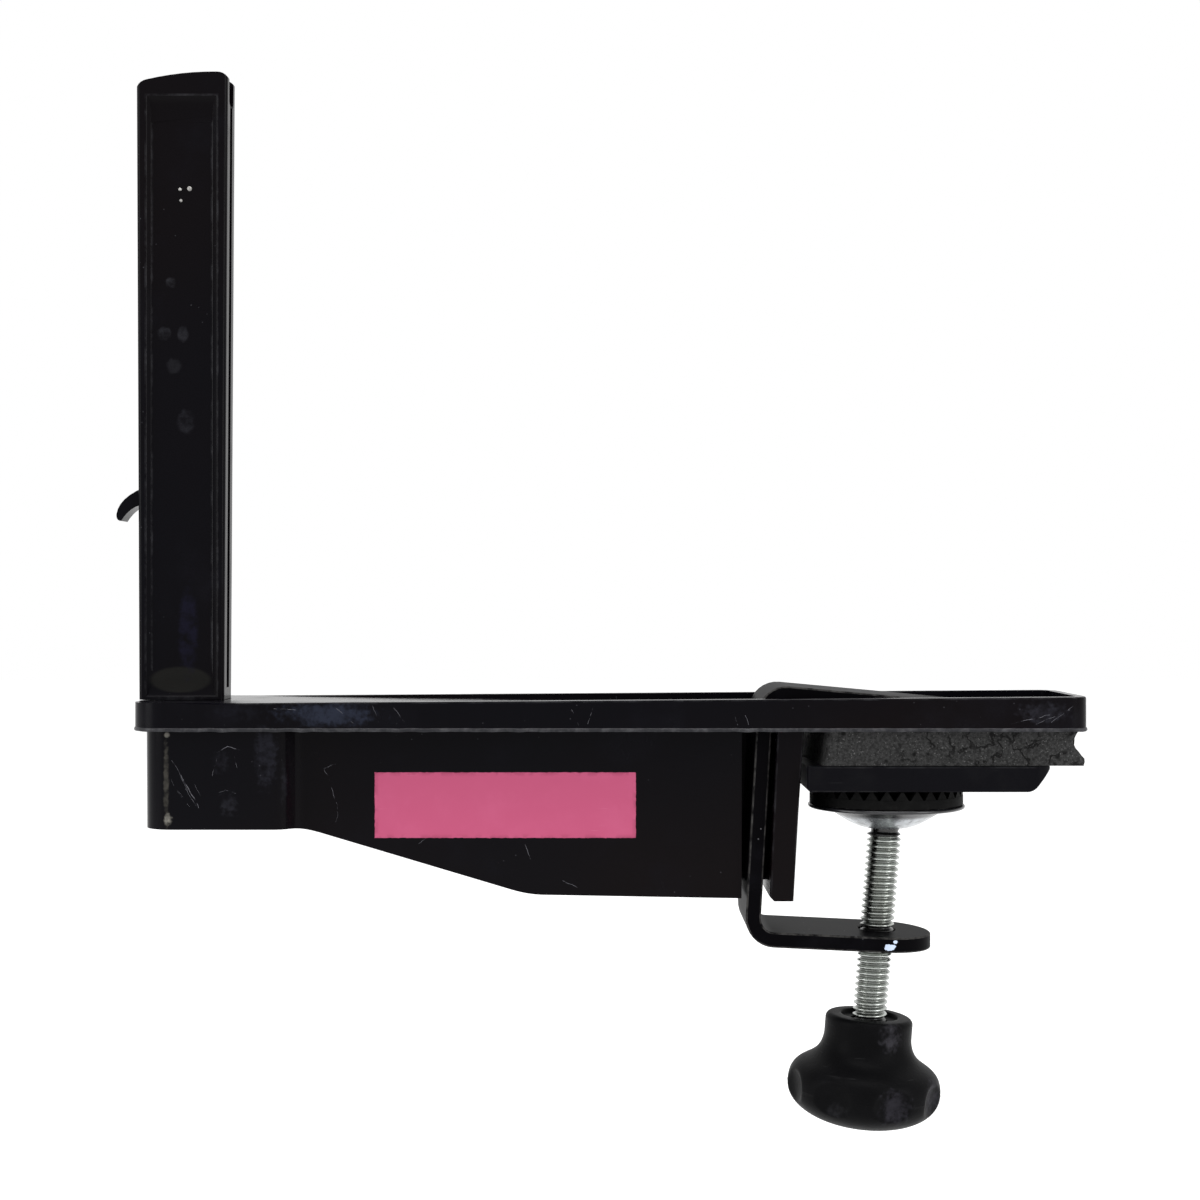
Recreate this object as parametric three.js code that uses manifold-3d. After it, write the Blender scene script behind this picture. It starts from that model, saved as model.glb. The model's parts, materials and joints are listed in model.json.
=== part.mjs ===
// Table tennis net clamp: the post assembly that holds one end of the net at the edge of the table.
//
// A black moulded bracket lies on the table with a foam pad under it. A loose steel strap, bent to
// a C, passes through a slot in the bracket and carries the clamping screw below the table. The
// screw's ball end turns in a pressed cup under the jaw plate. At the outer end of the bracket a
// hollow post stands in a socket and takes the bent rod that the net is threaded on.
//
// Millimetres. +X runs from the post towards the table, +Z is up, and the part is symmetrical
// about Y = 0. The origin is on the axis of the clamping screw, at the underside of the foam pad.

import * as THREE from "three";
import { mergeVertices } from "three/addons/utils/BufferGeometryUtils.js";
import Module from "manifold-3d";

const wasm = await Module();
wasm.setup();

// ---- Clearances ----
const FIT_GAP = 0.3; // between pieces that slide in or through each other
const SEAT_GAP = 0.1; // between flat faces that rest on each other
const ARC_STEPS = 6; // facets in a quarter turn of a moulded corner
const TURN_STEPS = 48; // facets round a turned piece

// ---- Bracket: top plate ----
const PAD_THICKNESS = 7.8; // foam pad, free height
const PLATE_BASE = PAD_THICKNESS; // underside of the top plate and of its rim
const PLATE_HALF_WIDTH = 18;
const PLATE_OUTER_END = -174.2; // under the post
const PLATE_TABLE_END = 42.4;
const PLATE_OUTER_CORNER = 8; // plan radius
const PLATE_TABLE_CORNER = 5;
const RIM_WALL = 2.4;
const LAND_Z = 14.2; // flat land that the post stands on
const LAND_LENGTH = 24.2;
const LAND_END = PLATE_OUTER_END + LAND_LENGTH;
const RIM_TOP_TABLE_END = 15.6; // the rim rises a little towards the table
const TRAY_RAMP_END = 12.9; // tray floor beside the slot, on the arm's side
const TRAY_FLOOR = 10.1; // tray floor over the jaw, where the strap lies
const SKIN = 2.6; // thickness of the tray floor over the arm
const SLOT_ARM_SIDE = -35.6; // the strap's slot through the plate
const SLOT_TABLE_SIDE = -27.8;

// ---- Bracket: boss, arm and table-edge stop ----
const WALL = 2.4;
const BOSS_OUTER_END = PLATE_OUTER_END + 2.3;
const BOSS_HALF_WIDTH = 15.7;
const BOSS_CORNER = 7;
const BOSS_BASE = -14.6;
const BOSS_NECK = BOSS_OUTER_END + 33.5; // where the boss narrows to the arm
const NECK_HALF_LENGTH = 3.2;
const ARM_HALF_WIDTH = 11;
const ARM_SLOPE_START = BOSS_NECK + 2.4;
const ARM_SLOPE_END = -84.2;
const ARM_BASE = -30.1; // underside of the arm at the foot of the slope
const ARM_BASE_END = -30.9; // and at the strap
const DRAFT = Math.tan(THREE.MathUtils.degToRad(1.2));
const RIB = 1.6;
const RIB_PITCH = 24;
const RIB_SETBACK = 1.5; // ribs stop short of the open edge
const STOP_TOP_X = -21.7; // face that meets the table's edge, at the plate
const STOP_BREAK = -7.8; // the face is a little steeper below this level
const STOP_BREAK_X = -22.8;
const STOP_BASE_X = -24.1; // and at its foot
const STOP_BACK_TOP_X = -27.8;
const STOP_BACK_BASE_X = -29.5;
const STOP_BASE = -30.9;
const STOP_HALF_WIDTH = 14.5;
const STOP_WALL = 1.9;
const STOP_CHAMFER = 1;

// ---- Post ----
const POST_BASE = LAND_Z + SEAT_GAP;
const POST_DEPTH = 10;
const POST_FOOT_OUTER = PLATE_OUTER_END - 0.7;
const POST_REACH = 19; // from the plate's outer end to the post's inner side
const POST_FOOT_INNER = PLATE_OUTER_END + POST_REACH;
const POST_TOP_OUTER = POST_FOOT_OUTER - 0.6; // the post widens a little towards its top
const POST_TOP_INNER = POST_FOOT_INNER + 0.9;
const POST_TOP_OUTER_Z = 157.6; // the top edge rises towards the net
const POST_TOP_INNER_Z = 159.8;
const POST_EDGE = 1.1; // radius along the four upright edges
const TROUGH_DEPTH = 1.2; // long scooped panel in each broad face
const TROUGH_OUTER = POST_FOOT_OUTER + 1.7;
const TROUGH_INNER = POST_FOOT_INNER - 1.4;
const TROUGH_BEVEL = 1.5;
const TROUGH_BASE = 14.9;
const TROUGH_TOP = 154.4;
const TROUGH_SCOOP = 6.1; // length of the curved end of the panel
const DISH = { halfWidth: 6.9, halfHeight: 2.7, depth: 0.45, lift: 1.5 }; // at the foot of the panel
const ROD_DIAMETER = 3.5;
const CHANNEL_WIDTH = 5; // across the post, rod and net sleeve side by side
const CHANNEL_LENGTH = 6;
const CHANNEL_WALL = 1.7; // between the channel and the net side at the top
const CHANNEL_END = POST_TOP_INNER - CHANNEL_WALL;
const ROD_CENTRE = CHANNEL_END - FIT_GAP - ROD_DIAMETER / 2;
const CHANNEL_FLOOR = 20; // below it only the rod goes on, through the spigot
const NET_SLOT = 2.8; // slot that the net leaves the channel by
const NET_MOUTH = 4.8; // the slot is wider at the top, to start the net
const NET_MOUTH_DEPTH = 7.2;
const ROD_BEND = 13.2; // centre distance of the rod's two legs
const LEG_POCKET = ROD_DIAMETER + 1.1; // square pocket for the rod's short leg
const LEG_POCKET_DEPTH = 22;
const SPIGOT_INSET = 4.8; // from the plate's outer end
const SPIGOT_OUTER = PLATE_OUTER_END + SPIGOT_INSET;
const SPIGOT_WIDTH = 7.4;
const SPIGOT_BASE = -7.7;
const HOOK_ROOT_Z = 63; // small hook on the outer side for the net's cord
const HOOK_REACH = 5.4;
const HOOK_DROP = 7.2;
const HOOK_WIDTH = 6;
const HOOK_ROOT = 3.6; // height of its root on the post, and a little more inside the wall
const HOOK_ROOT_INSIDE = 3.8;

// ---- Post fixing ----
const SOCKET_WALL = 2.3;
const SOCKET_FLOOR = 2.4;
const FIX_SCREW_INSET = 4.4; // from the spigot's outer end
const FIX_SCREW_X = SPIGOT_OUTER + FIX_SCREW_INSET;
const FIX_SCREW_RADIUS = 1.75;
const FIX_SCREW_LENGTH = 16;
const FIX_HEAD_RADIUS = 3.5;
const FIX_HEAD_HEIGHT = 2.3;
const FIX_WASHER_RADIUS = 4.1;
const FIX_WASHER = 0.9;

// ---- Strap. It sits loose, so it leans, and its bends are a little off square ----
const STRAP_WIDTH = 25;
const STRAP_THICKNESS = 3.5;
const STRAP_CORNERS = [ // outer outline from the end of the upper leg round to the tongue
  [18, 13.8],
  [-31.8, 18.4],
  [-35.2, -41.5],
  [12, -43.7],
];
const STRAP_INNER_BEND = 3.2;
const STRAP_CORNER = 3;

// ---- Clamping screw and knob, drawn in a frame that leans with the strap ----
const LEAN = THREE.MathUtils.degToRad(4.7);
const TONGUE_X = -3.3; // where the screw goes through the tongue
const SCREW_RADIUS = 3.97; // 5/16 inch thread
const BALL_RADIUS = 4.3;
const BALL_NECK_RADIUS = 3.3;
const BALL_Z = -12.6;
const THREAD_START = -17.6;
const SCREW_END = -77;
const SCREW_SQUARE = 6.2; // squared end that the knob is moulded on
const SCREW_SQUARE_LENGTH = 9;

// ---- Knob ----
const KNOB_TOP = -59.9;
const KNOB_NECK_RADIUS = 10.15;
const KNOB_NECK_LENGTH = 5;
const KNOB_RADIUS = 17.8;
const KNOB_RIM = -76.7; // level of the greatest diameter
const KNOB_DOME = 8.9;
const KNOB_LOBES = 8;
const KNOB_FLARE = { out: 0.8, neckPull: 7.4, rimPull: 4.4 }; // handles of the curve under the neck
const KNOB_SCOOP_RADIUS = 11;
const KNOB_SCOOP_HEIGHT = 12;
const KNOB_SCOOP_DEPTH = 1.7;
const KNOB_TURN = THREE.MathUtils.degToRad(-8.5); // how the knob stands on the squared end
const KNOB_RECESS_RADIUS = 6.6;
const KNOB_RECESS = 1;

// ---- Jaw ----
const JAW_TOP = -SEAT_GAP;
const JAW_THICKNESS = 5.7;
const JAW_STOP_CLEARANCE = 1.3; // to the table-edge stop
const JAW_TABLE_END = 34.1;
const JAW_END_CHAMFER = 4.6;
const JAW_HALF_WIDTH = 18;
const DISC_RADIUS = 17.8;
const DISC_BASE = -10;
const TOOTH_COUNT = 32;
const TOOTH_HEIGHT = 2;
const TOOTH_LENGTH = 4.4;
const TOOTH_PHASE = THREE.MathUtils.degToRad(3.5);
const DISC_HUB_RADIUS = 12;
const CUP_RADIUS = 18.2;
const CUP_METAL = 0.9;
const CUP_DOME_RADIUS = 10;
const CUP_DOME_BASE = -15.8;

// ---- Foam pad ----
const PAD_OUTER_END = -17.7;
const PAD_TABLE_END = 41.1;
const PAD_WIDTH = 33;
const PAD_SKEW = 1.5; // the outer end is cut a little out of square
const PAD_WAIST = 2.2; // how far the die-cut table end draws in
const PAD_SLOPE = 1.2; // how far the outer end leans

// ---- Solids from three.js geometry ----
function toSolid(geometry) {
  const plain = new THREE.BufferGeometry();
  plain.setAttribute("position", geometry.getAttribute("position").clone());
  if (geometry.index) plain.setIndex(geometry.index.clone());
  const merged = mergeVertices(plain, 1e-4);
  const index = merged.index.array;
  const triangles = [];
  for (let i = 0; i < index.length; i += 3) {
    const [a, b, c] = index.slice(i, i + 3);
    if (a !== b && b !== c && c !== a) triangles.push(a, b, c);
  }
  return new wasm.Manifold(new wasm.Mesh({
    numProp: 3,
    vertProperties: Float32Array.from(merged.getAttribute("position").array),
    triVerts: Uint32Array.from(triangles),
  }));
}

function union(solids) {
  return solids.reduce((whole, solid) => whole.add(solid));
}

function toMesh(name, solid, material) {
  const { vertProperties, triVerts } = solid.getMesh();
  const geometry = new THREE.BufferGeometry();
  geometry.setAttribute("position", new THREE.BufferAttribute(vertProperties, 3));
  geometry.setIndex(new THREE.BufferAttribute(triVerts, 1));
  geometry.computeVertexNormals();
  const mesh = new THREE.Mesh(geometry, material);
  mesh.name = name;
  return mesh;
}

// A shape drawn in plan, standing from one height to another.
function upright(shape, low, high, steps = ARC_STEPS) {
  const settings = { depth: high - low, bevelEnabled: false, curveSegments: steps };
  return new THREE.ExtrudeGeometry(shape, settings).translate(0, 0, low);
}

// A shape drawn in side view (X, Z), centred on Y = 0.
function across(shape, width, steps = ARC_STEPS) {
  const settings = { depth: width, bevelEnabled: false, curveSegments: steps };
  return new THREE.ExtrudeGeometry(shape, settings)
    .rotateX(Math.PI / 2)
    .translate(0, width / 2, 0);
}

// A shape drawn in end view (Y, Z), from one X to another.
function lengthwise(shape, start, end, steps = ARC_STEPS) {
  const settings = { depth: end - start, bevelEnabled: false, curveSegments: steps };
  return new THREE.ExtrudeGeometry(shape, settings)
    .rotateX(Math.PI / 2)
    .rotateZ(Math.PI / 2)
    .translate(start, 0, 0);
}

// A profile of [radius, height] points turned about the Z axis.
function turned(points, steps = TURN_STEPS) {
  const profile = points.map(([radius, height]) => new THREE.Vector2(radius, height));
  return new THREE.LatheGeometry(profile, steps).rotateX(Math.PI / 2);
}

function box(x0, x1, y0, y1, z0, z1) {
  return new THREE.BoxGeometry(x1 - x0, y1 - y0, z1 - z0)
    .translate((x0 + x1) / 2, (y0 + y1) / 2, (z0 + z1) / 2);
}

function rod(radius, low, high, steps = TURN_STEPS) {
  return new THREE.CylinderGeometry(radius, radius, high - low, steps)
    .rotateX(Math.PI / 2)
    .translate(0, 0, (low + high) / 2);
}

function polygon(points) {
  return new THREE.Shape(points.map(([x, y]) => new THREE.Vector2(x, y)));
}

// Rectangle with its own corner radius at the low-X end and at the high-X end.
function roundedRectangle(x0, y0, x1, y1, lowRadius, highRadius = lowRadius) {
  const shape = new THREE.Shape();
  shape.moveTo(x0 + lowRadius, y0);
  shape.lineTo(x1 - highRadius, y0);
  shape.absarc(x1 - highRadius, y0 + highRadius, highRadius, -Math.PI / 2, 0);
  shape.absarc(x1 - highRadius, y1 - highRadius, highRadius, 0, Math.PI / 2);
  shape.absarc(x0 + lowRadius, y1 - lowRadius, lowRadius, Math.PI / 2, Math.PI);
  shape.absarc(x0 + lowRadius, y0 + lowRadius, lowRadius, Math.PI, 1.5 * Math.PI);
  return shape;
}

function mapVertices(geometry, change) {
  const position = geometry.getAttribute("position");
  const point = new THREE.Vector3();
  for (let i = 0; i < position.count; i += 1) {
    point.fromBufferAttribute(position, i);
    change(point);
    position.setXYZ(i, point.x, point.y, point.z);
  }
  return geometry;
}

// ---- Bracket ----

// Height of the rim's top edge at a place along the plate.
function rimTop(x) {
  const share = (x - LAND_END) / (PLATE_TABLE_END - LAND_END);
  return LAND_Z + Math.max(0, share) * (RIM_TOP_TABLE_END - LAND_Z);
}

function platePlan(inset) {
  return roundedRectangle(
    PLATE_OUTER_END + inset, inset - PLATE_HALF_WIDTH,
    PLATE_TABLE_END - inset, PLATE_HALF_WIDTH - inset,
    PLATE_OUTER_CORNER - inset, PLATE_TABLE_CORNER - inset,
  );
}

// Plan of the boss and arm below the plate, with the shoulder between them as an S-curve.
function bodyPlan(inset) {
  const outer = BOSS_OUTER_END + inset;
  const end = SLOT_ARM_SIDE - inset;
  const wide = BOSS_HALF_WIDTH - inset;
  const narrow = ARM_HALF_WIDTH - inset;
  const neck = BOSS_NECK - inset;
  const corner = BOSS_CORNER - inset;
  const wideSide = neck - NECK_HALF_LENGTH;
  const narrowSide = neck + NECK_HALF_LENGTH;
  const shape = new THREE.Shape();
  shape.moveTo(end, -narrow);
  shape.lineTo(end, narrow);
  shape.lineTo(narrowSide, narrow);
  shape.bezierCurveTo(neck, narrow, neck, wide, wideSide, wide);
  shape.lineTo(outer + corner, wide);
  shape.absarc(outer + corner, wide - corner, corner, Math.PI / 2, Math.PI);
  shape.absarc(outer + corner, corner - wide, corner, Math.PI, 1.5 * Math.PI);
  shape.lineTo(wideSide, -wide);
  shape.bezierCurveTo(neck, -wide, neck, -narrow, narrowSide, -narrow);
  return shape;
}

// Side view of the boss and arm: level boss, sloping underside, then the deep part by the strap.
function bodySide(setback) {
  const start = BOSS_OUTER_END - 1;
  const end = SLOT_ARM_SIDE + 1;
  const run = 4;
  const slope = (ARM_BASE - BOSS_BASE) / (ARM_SLOPE_END - ARM_SLOPE_START);
  const shape = new THREE.Shape();
  shape.moveTo(start, PLATE_BASE + 1);
  shape.lineTo(start, BOSS_BASE + setback);
  shape.lineTo(ARM_SLOPE_START - run, BOSS_BASE + setback);
  shape.quadraticCurveTo(
    ARM_SLOPE_START, BOSS_BASE + setback,
    ARM_SLOPE_START + run, BOSS_BASE + slope * run + setback,
  );
  shape.lineTo(ARM_SLOPE_END - run, ARM_BASE - slope * run + setback);
  shape.quadraticCurveTo(ARM_SLOPE_END, ARM_BASE + setback, ARM_SLOPE_END + run, ARM_BASE + setback);
  shape.lineTo(end, ARM_BASE_END + setback);
  shape.lineTo(end, PLATE_BASE + 1);
  return shape;
}

// The side walls draw in a little towards the open underside, as a moulding has to.
function drafted(geometry) {
  return mapVertices(geometry, (point) => {
    const drop = Math.max(0, PLATE_BASE - point.z);
    point.y -= Math.sign(point.y) * drop * DRAFT;
  });
}

// Everything under the tray floor: what the hollows may reach.
function underSkin(low) {
  return polygon([
    [PLATE_OUTER_END - 1, low],
    [SLOT_ARM_SIDE, low],
    [SLOT_ARM_SIDE, TRAY_RAMP_END - SKIN],
    [LAND_END, LAND_Z - SKIN],
    [PLATE_OUTER_END - 1, LAND_Z - SKIN],
  ]);
}

function plateSolid() {
  const wide = 2 * PLATE_HALF_WIDTH + 2;
  const side = polygon([
    [PLATE_OUTER_END - 1, PLATE_BASE],
    [PLATE_TABLE_END + 1, PLATE_BASE],
    [PLATE_TABLE_END + 1, rimTop(PLATE_TABLE_END + 1)],
    [LAND_END, LAND_Z],
    [PLATE_OUTER_END - 1, LAND_Z],
  ]);
  const block = toSolid(upright(platePlan(0), PLATE_BASE, RIM_TOP_TABLE_END + 1))
    .intersect(toSolid(across(side, wide)));
  const trayPlan = roundedRectangle(
    LAND_END, RIM_WALL - PLATE_HALF_WIDTH,
    PLATE_TABLE_END - RIM_WALL, PLATE_HALF_WIDTH - RIM_WALL,
    PLATE_TABLE_CORNER - RIM_WALL,
  );
  const traySide = polygon([
    [LAND_END, LAND_Z],
    [SLOT_ARM_SIDE, TRAY_RAMP_END],
    [SLOT_ARM_SIDE, TRAY_FLOOR],
    [PLATE_TABLE_END, TRAY_FLOOR],
    [PLATE_TABLE_END, RIM_TOP_TABLE_END + 2],
    [LAND_END, RIM_TOP_TABLE_END + 2],
  ]);
  const tray = toSolid(upright(trayPlan, PLATE_BASE, RIM_TOP_TABLE_END + 2))
    .intersect(toSolid(across(traySide, wide)));
  const flangeHollow = toSolid(upright(platePlan(RIM_WALL), PLATE_BASE - 1, LAND_Z))
    .intersect(toSolid(across(underSkin(PLATE_BASE - 1), wide)))
    .subtract(toSolid(box(SLOT_ARM_SIDE - RIB, 0, -wide, wide, PLATE_BASE - 2, LAND_Z)));
  return block.subtract(tray).subtract(flangeHollow);
}

function bodySolid() {
  const deep = ARM_BASE_END - WALL;
  const wide = 2 * BOSS_HALF_WIDTH + 2;
  const outside = toSolid(drafted(upright(bodyPlan(0), deep, PLATE_BASE + 1)))
    .intersect(toSolid(across(bodySide(0), wide)));
  const inside = toSolid(drafted(upright(bodyPlan(WALL), deep - 1, LAND_Z)))
    .intersect(toSolid(across(underSkin(deep - 1), wide)));
  return { outside, inside };
}

// Cross ribs at an even pitch along the arm, and one rib down its middle.
function ribSolids(envelope) {
  const deep = ARM_BASE_END - WALL;
  const ribs = [toSolid(box(
    BOSS_NECK, SLOT_ARM_SIDE - RIB, -RIB / 2, RIB / 2, deep, LAND_Z - SKIN + 0.5,
  ))];
  for (let x = SLOT_ARM_SIDE - RIB_PITCH; x > BOSS_NECK - RIB_PITCH / 2; x -= RIB_PITCH) {
    ribs.push(toSolid(box(x - RIB, x, -BOSS_HALF_WIDTH, BOSS_HALF_WIDTH, deep, LAND_Z - SKIN)));
  }
  return union(ribs).intersect(envelope);
}

// Short gussets between the arm and the turned-down rim, in line with the cross ribs.
function gussetSolids() {
  const wide = PLATE_HALF_WIDTH - RIM_WALL / 2;
  const gussets = [];
  for (let x = SLOT_ARM_SIDE - RIB_PITCH; x > BOSS_NECK; x -= RIB_PITCH) {
    for (const side of [-1, 1]) {
      const near = side * (ARM_HALF_WIDTH - WALL / 2);
      const far = side * wide;
      gussets.push(toSolid(box(
        x - RIB, x, Math.min(near, far), Math.max(near, far), PLATE_BASE + 0.6, LAND_Z - SKIN,
      )));
    }
  }
  return union(gussets);
}

function socketBounds(margin) {
  return {
    x0: SPIGOT_OUTER - margin,
    x1: POST_FOOT_INNER + margin,
    y: SPIGOT_WIDTH / 2 + margin,
  };
}

// Socket for the post's spigot, tied to the boss by a web on each side and one along the middle.
function socketSolid(bossSpace) {
  const outer = socketBounds(FIT_GAP + SOCKET_WALL);
  const floor = SPIGOT_BASE - FIT_GAP - SOCKET_FLOOR;
  const top = LAND_Z - SKIN + 0.5;
  const webBase = floor + 1;
  return union([
    toSolid(box(outer.x0, outer.x1, -outer.y, outer.y, floor, top)),
    toSolid(box(
      FIX_SCREW_X - RIB / 2, FIX_SCREW_X + RIB / 2,
      -BOSS_HALF_WIDTH, BOSS_HALF_WIDTH, webBase, top,
    )),
    toSolid(box(outer.x1 - 1, BOSS_NECK, -RIB / 2, RIB / 2, webBase, top)),
  ]).intersect(bossSpace);
}

function stopSolid() {
  const root = PLATE_BASE + 1;
  const outline = polygon([
    [STOP_TOP_X, root],
    [STOP_TOP_X, PLATE_BASE],
    [STOP_BREAK_X, STOP_BREAK],
    [STOP_BASE_X, STOP_BASE],
    [STOP_BACK_BASE_X + STOP_CHAMFER, STOP_BASE],
    [STOP_BACK_BASE_X, STOP_BASE + STOP_CHAMFER],
    [STOP_BACK_TOP_X, PLATE_BASE],
    [STOP_BACK_TOP_X, root],
  ]);
  const core = polygon([
    [STOP_TOP_X - STOP_WALL, PLATE_BASE - 3],
    [STOP_BASE_X - STOP_WALL, STOP_BASE - 1],
    [STOP_BACK_BASE_X + STOP_WALL, STOP_BASE - 1],
    [STOP_BACK_TOP_X + STOP_WALL, PLATE_BASE - 3],
  ]);
  const coreWidth = 2 * (STOP_HALF_WIDTH - STOP_WALL);
  const cores = toSolid(across(core, coreWidth))
    .subtract(toSolid(box(STOP_BACK_BASE_X, STOP_TOP_X, -RIB / 2, RIB / 2, STOP_BASE - 2, root)));
  return toSolid(across(outline, 2 * STOP_HALF_WIDTH)).subtract(cores);
}

// Web along the far side of the strap, from the end of the arm to the stop.
function farWebSolid(inner) {
  const start = SLOT_ARM_SIDE - WALL;
  const base = STOP_BASE + STOP_CHAMFER;
  const root = PLATE_BASE + 1;
  const side = polygon([
    [start, base], [STOP_BACK_BASE_X + STOP_CHAMFER, base], [STOP_BACK_TOP_X + STOP_CHAMFER, root],
    [start, root],
  ]);
  const width = STOP_HALF_WIDTH - inner;
  return toSolid(across(side, width)).translate([0, inner + width / 2, 0])
    .add(toSolid(box(start, SLOT_ARM_SIDE, BOSS_HALF_WIDTH / 2, STOP_HALF_WIDTH, base, root)));
}

function buildBracket(material) {
  const { outside, inside } = bodySolid();
  const wide = 2 * PLATE_HALF_WIDTH;
  const ribSpace = inside.add(outside)
    .intersect(toSolid(across(bodySide(RIB_SETBACK), wide)).add(
      toSolid(box(PLATE_OUTER_END, SLOT_ARM_SIDE, -wide, wide, PLATE_BASE, LAND_Z)),
    ));
  const spigotHole = socketBounds(FIT_GAP);
  const slotHalf = STRAP_WIDTH / 2 + 2 * FIT_GAP;
  const solid = plateSolid().add(gussetSolids()).add(outside)
    .subtract(inside)
    .add(ribSolids(ribSpace))
    .add(socketSolid(ribSpace))
    .add(stopSolid())
    .add(farWebSolid(slotHalf))
    .subtract(toSolid(box(
      spigotHole.x0, spigotHole.x1, -spigotHole.y, spigotHole.y,
      SPIGOT_BASE - FIT_GAP, LAND_Z + 1,
    )))
    .subtract(toSolid(rod(FIX_SCREW_RADIUS + FIT_GAP, BOSS_BASE - 1, LAND_Z, 24)
      .translate(FIX_SCREW_X, 0, 0)))
    .subtract(toSolid(rodHole(BOSS_BASE - 1, LAND_Z)))
    .subtract(toSolid(box(
      SLOT_ARM_SIDE, SLOT_TABLE_SIDE, -slotHalf, slotHalf, PLATE_BASE - 2, RIM_TOP_TABLE_END + 1,
    )));
  return toMesh("bracket", solid, material);
}

// ---- Post ----

function postAt(z, foot, top) {
  const share = (z - POST_BASE) / (POST_TOP_INNER_Z - POST_BASE);
  return foot + (top - foot) * share;
}

function postBlank() {
  const halfDepth = POST_DEPTH / 2;
  const plan = roundedRectangle(POST_FOOT_OUTER, -halfDepth, POST_FOOT_INNER, halfDepth, POST_EDGE);
  const high = POST_TOP_INNER_Z + 1;
  const flared = mapVertices(upright(plan, POST_BASE, high, 4), (point) => {
    const share = (point.x - POST_FOOT_OUTER) / (POST_FOOT_INNER - POST_FOOT_OUTER);
    const outer = postAt(point.z, POST_FOOT_OUTER, POST_TOP_OUTER);
    const inner = postAt(point.z, POST_FOOT_INNER, POST_TOP_INNER);
    point.x = outer + (inner - outer) * share;
  });
  const left = POST_TOP_OUTER - 1;
  const right = POST_TOP_INNER + 1;
  const cap = new THREE.Shape();
  cap.moveTo(left, POST_BASE - 1);
  cap.lineTo(right, POST_BASE - 1);
  cap.lineTo(right, POST_TOP_INNER_Z - 2.6);
  cap.quadraticCurveTo(POST_TOP_INNER - 0.2, POST_TOP_INNER_Z, POST_TOP_INNER - 2.4, POST_TOP_INNER_Z);
  cap.quadraticCurveTo(
    (left + right) / 2, POST_TOP_INNER_Z + 0.1,
    POST_TOP_OUTER + 2.4, POST_TOP_OUTER_Z + 0.4,
  );
  cap.quadraticCurveTo(POST_TOP_OUTER + 0.4, POST_TOP_OUTER_Z, left, POST_TOP_OUTER_Z - 3);
  return toSolid(flared).intersect(toSolid(across(cap, POST_DEPTH + 2)));
}

// Scooped panel in one broad face: bevelled along its sides, curved up at both ends.
function troughSolid(side) {
  const face = POST_DEPTH / 2;
  const floor = face - TROUGH_DEPTH;
  const beyond = face + 1;
  const section = polygon([
    [TROUGH_OUTER, beyond], [TROUGH_OUTER, face],
    [TROUGH_OUTER + TROUGH_BEVEL, floor], [TROUGH_INNER - TROUGH_BEVEL / 1.3, floor],
    [TROUGH_INNER, face], [TROUGH_INNER, beyond],
  ]);
  const profile = new THREE.Shape();
  profile.moveTo(beyond, TROUGH_BASE);
  profile.lineTo(face, TROUGH_BASE);
  profile.quadraticCurveTo(floor, TROUGH_BASE + 0.8, floor, TROUGH_BASE + TROUGH_SCOOP);
  profile.lineTo(floor, TROUGH_TOP - TROUGH_SCOOP);
  profile.quadraticCurveTo(floor, TROUGH_TOP - 0.8, face, TROUGH_TOP);
  profile.lineTo(beyond, TROUGH_TOP);
  const dish = new THREE.SphereGeometry(1, 28, 14)
    .scale(DISH.halfWidth, TROUGH_DEPTH + DISH.depth, DISH.halfHeight)
    .translate((TROUGH_OUTER + TROUGH_INNER) / 2, face, TROUGH_BASE + DISH.lift + DISH.halfHeight);
  const trough = toSolid(upright(section, TROUGH_BASE - 1, TROUGH_TOP + 1))
    .intersect(toSolid(lengthwise(profile, TROUGH_OUTER - 1, TROUGH_INNER + 1)))
    .add(toSolid(dish));
  return side > 0 ? trough : trough.rotate([0, 0, 180]).translate([TROUGH_OUTER + TROUGH_INNER, 0, 0]);
}

// Hole for the rod's lower end, through the post's foot, its spigot and the socket's floor.
function rodHole(low, high) {
  return rod((ROD_DIAMETER + FIT_GAP) / 2, low, high, 16).translate(ROD_CENTRE, 0, 0);
}

function hookSolid() {
  const root = postAt(HOOK_ROOT_Z, POST_FOOT_OUTER, POST_TOP_OUTER);
  const inside = root + 1;
  const tip = root - HOOK_REACH;
  const low = HOOK_ROOT_Z - HOOK_DROP;
  const shape = new THREE.Shape();
  shape.moveTo(inside, HOOK_ROOT_Z + 0.6);
  shape.quadraticCurveTo(tip + 0.6, HOOK_ROOT_Z - 1.8, tip, low + 1.6);
  shape.quadraticCurveTo(tip - 0.1, low, tip + 1.1, low);
  shape.quadraticCurveTo(root - 2.4, low + 3, root, HOOK_ROOT_Z - HOOK_ROOT);
  shape.lineTo(inside, HOOK_ROOT_Z - HOOK_ROOT_INSIDE);
  return toSolid(across(shape, HOOK_WIDTH));
}

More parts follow.
